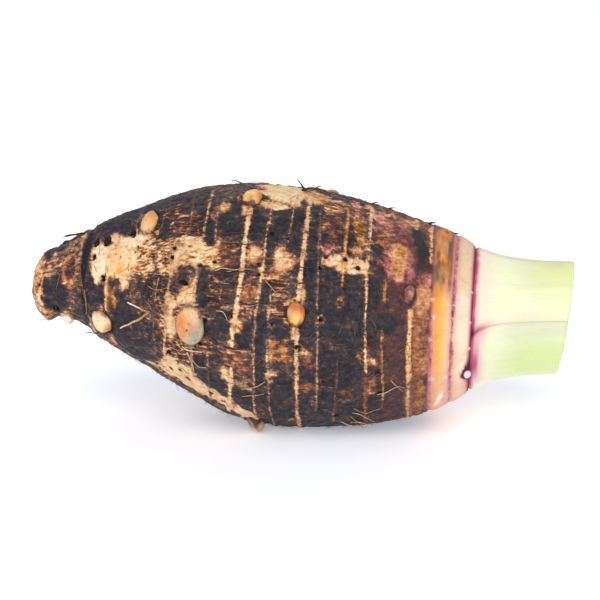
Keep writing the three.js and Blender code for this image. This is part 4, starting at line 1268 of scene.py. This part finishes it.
def stub_height(place):
    return float(along(STUB_SECTIONS, np.array([place]), 2)[0])


def stub_place(share, height):
    """Distance from the tip at a share of the stub's length, for a point so high above its middle."""
    full = stub_radius(CORM_LENGTH + STUB_LENGTH)
    cut = STUB_LENGTH - CUT_SLANT * (full - height) / (2 * full)
    return CORM_LENGTH + GAP + (cut - GAP) * share


def seam_at(place):
    return SEAM_END + (SEAM_ROOT - SEAM_END) * np.exp((CORM_LENGTH - place) / SEAM_BEND)


def swell(share):
    return np.sin(math.pi * share) ** 2


def stalk_colour(place, degrees, points):
    """Pink at the crown, then ivory, then green, yellowest along the top and greenest along the bottom."""
    past = place - CORM_LENGTH
    out = past / STUB_LENGTH + 0.05 * blobs(points, 9, 81)
    turn = turn_between(degrees, 0)
    seam = turn_between(degrees, seam_at(place))
    above = hump(turn_between(degrees, 70), 34) * step(0.25, 0.95, out)
    below = hump(turn_between(degrees, -34), 36) * step(0.12, 0.6, out)
    behind = hump(turn_between(degrees, 190), 80) * step(0.12, 0.6, out)
    warm = hump(seam - 7, 9) * step(0.0, 0.5, out)
    olive = hump(turn_between(degrees, 84), 12) * hump(out - 0.82, 0.14)
    # Paler along the top by the crown: partly the stalk's whitish base, partly painted light on its shaded
    # upper side.
    pale = hump(turn_between(degrees, 66), 40) * step(0.7, 0.2, out)
    # Pink at the root, deepest below the seam.
    under = step(8, -4, seam) * step(-60, -44, turn)
    pink = step(0.3 - 0.13 * under, 0.02, out) + 0.6 * hump(seam - 5, 8) * step(0.5, 0.08, out)
    blush = blend(linear("#FFE6D4"), linear("#ECBCBE"), under)
    rose = step(2.6, 0.2, past + 0.4 * blobs(points, 3, 83))
    rose = np.maximum(rose, hump(turn_between(degrees, -24), 16) * step(4.6, 1.0, past))
    magenta = step(1.4, 0.2, past + 0.4 * blobs(points, 3, 84))
    magenta = np.maximum(magenta, hump(turn_between(degrees, -25), 14) * step(3.2, 1.8, past))
    fold = hump(seam - 1.0, 3.5) * step(8, 1, past)
    ivory = np.zeros((*place.shape, 3)) + linear("#E6EAC6")
    return layered(ivory, ("#EBF2AE", 1.1 * above), ("#D3DF9E", 1.1 * below + 0.9 * behind),
                   ("#EEDFC0", 0.35 * warm), ("#C2B26C", 0.3 * olive), ("#FBFCD2", 0.9 * pale),
                   (blush, np.clip(pink, 0, 1) * 0.9), ("#D48CA0", 0.8 * rose),
                   ("#A82C5C", magenta * 0.9 + 0.6 * fold))


def stalk_grid(section):
    """Points and angles of a stalk through closed outlines: section(place) gives the angles, radii and
    inward directions in order round each."""
    middle = STALK_ROWS - len(ROOT_SHARES) - len(RIM_SHARES)
    shares = np.concatenate([ROOT_SHARES, np.linspace(0.02, 0.985, middle), RIM_SHARES])
    insets = np.concatenate([ROOT_INSETS, np.zeros(middle), RIM_INSETS])
    rows, angles = [], []
    for share, inset in zip(shares, insets):
        level = float(stub_place(share, 0.0))
        height = stub_height(level)
        degrees, radius, inward = section(level)
        if share in ROOT_SHARES:
            inward = np.minimum(inward, 0)
        outline = ring_point(level, radius + inward * inset, height, degrees)
        outline[:, 0] = stub_place(share, outline[:, 2] - height)
        rows.append(outline)
        angles.append(degrees)
    return np.stack(rows), np.stack(angles)


def wall_ends(rows, count):
    """Faces over the two ends of a wall, between its outside and its inside."""
    faces = []
    for start, flip in ((0, False), ((rows - 1) * count, True)):
        for i in range(start, start + count // 2 - 1):
            other = 2 * start + count - 1 - i
            quad = (i, i + 1, other - 1, other)
            faces.append(quad if flip else quad[::-1])
    return faces


def make_stalk(name, node, section, material):
    """A stalk that is a wrapped wall, whose outline has an outside and an inside, or else a rod."""
    grid, degrees = stalk_grid(section)
    rows, count = degrees.shape
    colour = stalk_colour(grid[..., 0], degrees, grid)
    cut = np.zeros(degrees.shape)
    cut[-1] = 1.0
    if count == 2 * STALK_SIDES:
        vertices, colour, cut = grid.reshape(-1, 3), colour.reshape(-1, 3), cut.ravel()
        faces = turned_over(bands(rows, count)) + wall_ends(rows, count)
    else:
        vertices = capped(grid, grid[0].mean(0), grid[-1].mean(0))
        colour, cut = (capped(value, value[0, 0], value[-1, -1]) for value in (colour, cut))
        faces = turned_over(capped_bands(rows, count))
    obj = piece(name, laid(vertices), faces, material, (node,))
    paint(obj, "skin", vertices)
    paint(obj, "stalk_colour", colour)
    paint(obj, "cut", cut)


def wall_section(start, turn, outer, wall):
    """Angles, radii and inward directions round a wall: the outside, then back along the inside."""
    share = np.linspace(0, 1, STALK_SIDES)
    degrees = start + turn * share
    outside = outer(share, degrees)
    inside = outside - wall(share)
    # Both long edges are rounded.
    ends = step(0, 0.012, share) * step(1, 0.988, share)
    middle = (outside + inside) / 2
    outside = middle + (outside - middle) * (0.35 + 0.65 * ends)
    inside = middle + (inside - middle) * (0.35 + 0.65 * ends)
    inward = np.repeat([-1.0, 1.0], STALK_SIDES)
    return np.concatenate([degrees[::-1], degrees]), np.concatenate([outside[::-1], inside]), inward


def ribs(degrees, place):
    """Shallow ribs along a stalk, where its veins run."""
    wander = degrees + 2.0 * math.sin(place / 9)
    return 0.07 * np.sin(np.radians(wander * 26)) + 0.05 * np.sin(np.radians(wander * 17 + 40))


def outer_section(place):
    radius = stub_radius(place)
    margin = (OUTER_MARGIN - 0.074 * float(step(179, 193, place))) * radius
    turn = 360 + LAP

    def outer(share, degrees):
        past = np.clip((share * turn - LAP) / LAP, 0, 1)
        return radius - (margin + LAP_GAP) * (1 - past * past * (3 - 2 * past)) + ribs(degrees, place)

    def wall(share):
        return margin + (OUTER_BACK * radius - margin) * swell(share)

    return wall_section(float(seam_at(place)) - LAP, turn, outer, wall)


def inner_section(place):
    radius = stub_radius(place)
    room = INNER_ROOM * radius + GAP

    def outer(share, degrees):
        return radius - room - (OUTER_BACK * radius + GAP - room) * (1 - swell(share))

    def wall(share):
        return (INNER_MARGIN + (INNER_BACK - INNER_MARGIN) * swell(share)) * radius

    return wall_section(float(seam_at(place)) - 180 + INNER_SLIT / 2, 360 - INNER_SLIT, outer, wall)


def heart_section(place):
    radius = HEART_RADIUS * stub_radius(place) - GAP
    degrees = -np.arange(STALK_SIDES) * 360 / STALK_SIDES
    groove = 0.5 * hump(turn_between(degrees, 70), 9)
    return degrees, radius - groove + 0.5 * ribs(degrees, place), np.full(STALK_SIDES, -1.0)


# ---------------------------------------------------------------- rootlets and root hairs

# The two arms of the forked rootlet: radius in mm, how pale the end is, then places with their lift.
ROOTLET_ARMS = (
    (0.62, 0.75, ((52, -2, 0.2), (50, -5, 1.5), (46, -11, 2.3), (40, -19, 2.9))),
    (0.42, 1.0, ((51.6, -2.6, 0.8), (48, -0.8, 2.2), (43, 1.6, 3.2))),
)
ROOTLET_POINTS, ROOTLET_SIDES = 26, 8
STRAY_POINTS, STRAY_SIDES, STRAY_LOWEST = 9, 6, 0.15


def tube(points, radii, sides):
    """Vertices and faces of a closed, tapering tube along points."""
    ahead = unit(np.gradient(points, axis=0))
    across = unit(np.cross(ahead, [0.0, 0.3, 1.0]))
    over = np.cross(across, ahead)
    turn = np.arange(sides) * 2 * math.pi / sides
    circle = np.cos(turn)[None, :, None] * across[:, None] + np.sin(turn)[None, :, None] * over[:, None]
    vertices = (points[:, None] + circle * radii[:, None, None]).reshape(-1, 3)
    ends = [tuple(range(sides)), tuple(reversed(range(len(vertices) - sides, len(vertices))))]
    return vertices, bands(len(points), sides) + ends


def tubes(paths, sides):
    """The vertices and faces of several tubes together, each given by its points and radii."""
    vertices, faces, start = [], [], 0
    for points, radii in paths:
        new_vertices, new_faces = tube(points, radii, sides)
        vertices.append(new_vertices)
        faces += [tuple(i + start for i in face) for face in new_faces]
        start += len(new_vertices)
    return np.concatenate(vertices), faces


def curve_points(rows, count, wander, size, seed):
    """A smooth, wandering run of skin points through rows of (distance, angle, lift)."""
    spots = np.linspace(0, len(rows) - 1, count)
    knots = [(i, *row) for i, row in enumerate(rows)]
    path = skin_point(*(along(knots, spots, column) for column in (1, 2, 3)))
    return path + wander * np.stack([blobs(path, size, seed + k) for k in range(3)], -1)


def make_forked_rootlet(material):
    """The one dry root that stands clear of the skin, palest at its ends."""
    paths, tone = [], []
    for radius, pale, rows in ROOTLET_ARMS:
        share = np.linspace(0, 1, ROOTLET_POINTS)
        path = curve_points(rows, ROOTLET_POINTS, 0.18, 3, 90)
        paths.append((path, radius * (1 - 0.45 * share) * (1 + 0.15 * blobs(path, 1.5, 95))))
        tone.append(np.repeat(0.5 + (pale - 0.4) * share ** 1.5, ROOTLET_SIDES))
    vertices, faces = tubes(paths, ROOTLET_SIDES)
    obj = piece("forked_rootlet_skin", laid(vertices), faces, material, ("forked_rootlet",))
    paint(obj, "tone", np.concatenate(tone))


def make_stray_roots(material):
    """The single roots on the skin, as one mesh of tapering tubes."""
    paths, tone = [], []
    for pale, radius, rows in STRAY_ROOTS:
        share = np.linspace(0, 1, STRAY_POINTS * len(rows))
        path = curve_points(rows, len(share), 0.25, 2.5, 110)
        paths.append((path, radius * (1 - 0.6 * share) * (1 + 0.25 * blobs(path, 1.5, 115))))
        tone.append(np.repeat(pale + 0.12 * share, STRAY_SIDES))
    vertices, faces = tubes(paths, STRAY_SIDES)
    obj = piece("stray_roots", laid(vertices, STRAY_LOWEST), faces, material)
    paint(obj, "tone", np.concatenate(tone))


HAIR_POINTS = 6
HAIR_SIZES = {
    "Hairs per square metre": 70000.0,
    "Length": 5.5 * MM,
    "Radius": 0.12 * MM,
    "Curl": 2.4 * MM,
}
HAIR_BENDS_PER_METRE = 320.0
HAIR_SEED = 5
# The hairs grow on every third row and fourth column of the bark.
HAIR_BED_STEP = (3, 4)


def hair_tree(material):
    """Scatters curled, tapering hairs over a mesh, most of them lying flat on it."""
    tree = bpy.data.node_groups.new("root_hairs", "GeometryNodeTree")
    add = functools.partial(add_node, tree)
    sockets = [("Skin", "Geometry"), *((size, "Float") for size in HAIR_SIZES), ("Seed", "Int")]
    for name, kind in sockets:
        tree.interface.new_socket(name, in_out="INPUT", socket_type="NodeSocket" + kind)
    tree.interface.new_socket("Hairs", in_out="OUTPUT", socket_type="NodeSocketGeometry")
    given = tree.nodes.new("NodeGroupInput").outputs

    # Spots on the skin, closest where it is hairy, each with a turn, a tilt, a tone and a size of its own.
    share = add("InputNamedAttribute", ("hairy",), data_type="FLOAT")
    density = add("Math", (given["Hairs per square metre"], share), operation="MULTIPLY")
    sown = {"Mesh": given["Skin"], "Density": density, "Seed": given["Seed"]}
    spots = add("DistributePointsOnFaces", sown, out=None)
    spin, tilt, tone, size = (
        add("RandomValue", {2: low, 3: high, 8: seed}, out=1)
        for seed, low, high in ((1, 0.0, 2 * math.pi), (2, -0.3, 0.06), (3, -0.1, 0.6), (4, 0.3, 1.0)))
    aim = spots.outputs["Rotation"]
    for axis, angle in (("Z", spin), ("Y", tilt)):
        turn = add("EulerToRotation", (add("CombineXYZ", {axis: angle}),))
        aim = add("RotateRotation", (aim, turn), rotation_space="LOCAL")
    toned = {"Geometry": spots.outputs["Points"], "Name": "tone", "Value": tone}
    spots = add("StoreNamedAttribute", toned, data_type="FLOAT", domain="POINT")

    # A straight thread on each spot, then bent by noise.
    line = add("CurvePrimitiveLine", {"End": add("CombineXYZ", {"X": given["Length"]})})
    line = add("ResampleCurve", {"Curve": line, "Count": HAIR_POINTS})
    hairs = add("InstanceOnPoints", {"Points": spots, "Instance": line, "Rotation": aim, "Scale": size})
    hairs = add("RealizeInstances", (hairs,))
    bend = add("TexNoise", {"Scale": HAIR_BENDS_PER_METRE, "Detail": 1.0}, out=1)
    bend = add("VectorMath", (bend, (-0.5, -0.5, -0.5)))
    bend = add("VectorMath", {0: bend, "Scale": given["Curl"]}, operation="SCALE")
    hairs = add("SetPosition", {"Geometry": hairs, "Offset": bend})

    # Three-sided, closed at both ends and thinner towards the tip.
    taper = add("MapRange", (add("SplineParameter"), 0.0, 1.0, 1.0, 0.35))
    taper = add("Math", (taper, given["Radius"]), operation="MULTIPLY")
    outline = add("CurvePrimitiveCircle", {"Resolution": 3, "Radius": 1.0})
    swept = {"Curve": hairs, "Profile Curve": outline, "Scale": taper, "Fill Caps": True}
    hairs = add("CurveToMesh", swept)

    # None of them goes through the floor.
    x, y, z = add("SeparateXYZ", (add("InputPosition"),), out=None).outputs
    above = add("CombineXYZ", (x, y, add("Math", (z, 0.1 * MM), operation="MAXIMUM")))
    hairs = add("SetPosition", {"Geometry": hairs, "Position": above})
    hairs = add("RealizeInstances", (hairs,))
    hairs = add("SetMaterial", {"Geometry": hairs, "Material": material})
    tree.links.new(hairs, tree.nodes.new("NodeGroupOutput").inputs[0])
    return tree


def grown(bed, tree, settings):
    """A plain mesh of what a tree grows on a bed, with the settings given by name."""
    modifier = bed.modifiers.new(tree.name, "NODES")
    modifier.node_group = tree
    named = {item.name: item.identifier for item in tree.interface.items_tree}
    for name, value in settings.items():
        modifier[named[name]] = value
    ready = bed.evaluated_get(bpy.context.evaluated_depsgraph_get())
    mesh = bpy.data.meshes.new_from_object(ready)
    bed.modifiers.remove(modifier)
    return mesh


def hair_bed(corm):
    """A coarse copy of the bark, with how hairy each place is."""
    def coarse(source, key, width=1):
        values = np.empty(len(source) * width)
        source.foreach_get(key, values)
        grid = values[:CORM_ROWS * CORM_COLUMNS * width].reshape(CORM_ROWS, CORM_COLUMNS, width)
        return grid[::HAIR_BED_STEP[0], ::HAIR_BED_STEP[1]]

    skin = coarse(corm.data.vertices, "co", 3)
    left, ring, young, pink = (coarse(corm.data.attributes[name].data, "value")
                               for name in ("left", "ring", "band", "pink"))
    hairy = (0.25 + 0.75 * step(0.2, 0.5, left)) * (1 - young)
    hairy = hairy * (0.7 + 0.6 * step(1.6, 0.2, ring)) * (1 - 0.5 * np.clip(pink, 0, 1))
    mesh = bpy.data.meshes.new("hair_bed")
    mesh.from_pydata(skin.reshape(-1, 3).tolist(), [], bands(*skin.shape[:2]))
    bed = put("hair_bed", mesh)
    paint(bed, "hairy", hairy.ravel())
    return bed


def make_root_hairs(corm, material):
    """Fine dry hairs over the old bark, thickest along the leaf-scar rings."""
    bed = hair_bed(corm)
    hairs = grown(bed, hair_tree(material), {**HAIR_SIZES, "Seed": HAIR_SEED})
    bpy.data.objects.remove(bed)
    settle(put("root_hairs", hairs))


# Where the bead of sap hangs, as distance and angle, and how far it stands out; half sizes in mm.
BEAD_SPOT, BEAD_LIFT = (175.9, -31), 0.7
BEAD_HALF_LENGTH, BEAD_HALF_WIDTH, BEAD_HALF_DEPTH = 1.5, 1.8, 1.2
BEAD_ROWS, BEAD_SIDES = 14, 24


def make_sap_bead(material):
    """A bead of sap that hangs in the wine-red groove."""
    down, turn = np.meshgrid(np.linspace(0.12, math.pi - 0.12, BEAD_ROWS),
                             np.arange(BEAD_SIDES) * 2 * math.pi / BEAD_SIDES, indexing="ij")
    local = np.stack([BEAD_HALF_LENGTH * np.sin(down) * np.cos(turn), BEAD_HALF_WIDTH * np.cos(down),
                      BEAD_HALF_DEPTH * np.sin(down) * np.sin(turn)], -1)
    vertices = standing_on(BEAD_SPOT, local, BEAD_LIFT)
    vertices = capped(vertices, vertices[0].mean(0), vertices[-1].mean(0))
    faces = turned_over(capped_bands(BEAD_ROWS, BEAD_SIDES))
    piece("sap_bead", laid(vertices), faces, material)


# ---------------------------------------------------------------- floor, lights and camera

# Half the floor and the camera's distance in metres; its lens, its sensor and what it looks at, from the
# corm's own axis, in mm.
FLOOR_HALF = 6.0
CAMERA_DISTANCE, CAMERA_LENS, CAMERA_SENSOR = 1.0, 150, 36
CAMERA_AZIMUTH, CAMERA_ELEVATION = math.radians(4.5), math.radians(15)
LOOKED_AT = (107.7, 0.0, -3.0)


def make_stage():
    corners = [(-FLOOR_HALF, -FLOOR_HALF, 0), (FLOOR_HALF, -FLOOR_HALF, 0), (FLOOR_HALF, FLOOR_HALF, 0),
               (-FLOOR_HALF, FLOOR_HALF, 0)]
    mesh = bpy.data.meshes.new("floor")
    mesh.from_pydata(corners, [], [(0, 1, 2, 3)])
    mesh.materials.append(white_acrylic())
    floor = put("floor", mesh)


def hang_light(name, kind, colour, turn, place=(0, 0, 0), **settings):
    """One light, turned by degrees about x, y and z."""
    light = bpy.data.lights.new(name, kind)
    light.color = linear(colour)
    for key, value in settings.items():
        setattr(light, key, value)
    lamp = put(name, light)
    lamp.location = place
    lamp.rotation_euler = [math.radians(angle) for angle in turn]


def make_lights():
    """A white tent, one very wide soft light from the front, a low white card that lights the belly and a
    high one behind that lights the back."""
    world = bpy.data.worlds.new("tent")
    world.use_nodes = True
    background = world.node_tree.nodes["Background"]
    background.inputs["Color"].default_value = rgba("#F2F5FF")
    background.inputs["Strength"].default_value = 0.48
    bpy.context.scene.world = world
    hang_light("wide_softbox", "SUN", "#FFFCF8", (52, 0, -8), energy=1.85, angle=math.radians(55))
    hang_light("low_card", "AREA", "#FFF6EC", (94, 0, 0), (0, -0.9, 0.02), energy=1.1, shape="RECTANGLE",
               size=1.6, size_y=0.2)
    hang_light("high_card", "AREA", "#FFFBF6", (-48, 0, 0), (0, 0.55, 0.5), energy=1.6, shape="RECTANGLE",
               size=1.4, size_y=0.4)


def make_camera(middle):
    """Nearly side on and a little above, far enough back to flatten the perspective."""
    level = math.cos(CAMERA_ELEVATION)
    back = Vector((math.sin(CAMERA_AZIMUTH) * level, -math.cos(CAMERA_AZIMUTH) * level,
                   math.sin(CAMERA_ELEVATION)))
    camera = put("camera", bpy.data.cameras.new("camera"))
    camera.data.lens, camera.data.sensor_width = CAMERA_LENS, CAMERA_SENSOR
    camera.location = middle + back * CAMERA_DISTANCE
    camera.rotation_euler = (-back).to_track_quat("-Z", "Y").to_euler()
    bpy.context.scene.camera = camera


# ---------------------------------------------------------------- build

bark, scales, stalk, root = corky_bark(), bud_scale(), fresh_stalk(), dry_root()

corm = make_corm(bark)
for number, row in enumerate(BUDS, 1):
    make_bud(number, row, scales)
make_stalk("outer_stalk_skin", "outer_leaf_stalk", outer_section, stalk)
make_stalk("inner_stalk_skin", "inner_leaf_stalk", inner_section, stalk)
make_stalk("heart_stalk_skin", "heart_leaf_stalk", heart_section, stalk)
make_forked_rootlet(root)
make_stray_roots(root)
make_root_hairs(corm, root)
make_sap_bead(clear_sap())

make_stage()
make_lights()
make_camera(Vector((REST + LOOKED_AT) * MM))
bpy.context.scene.view_settings.view_transform = "Standard"
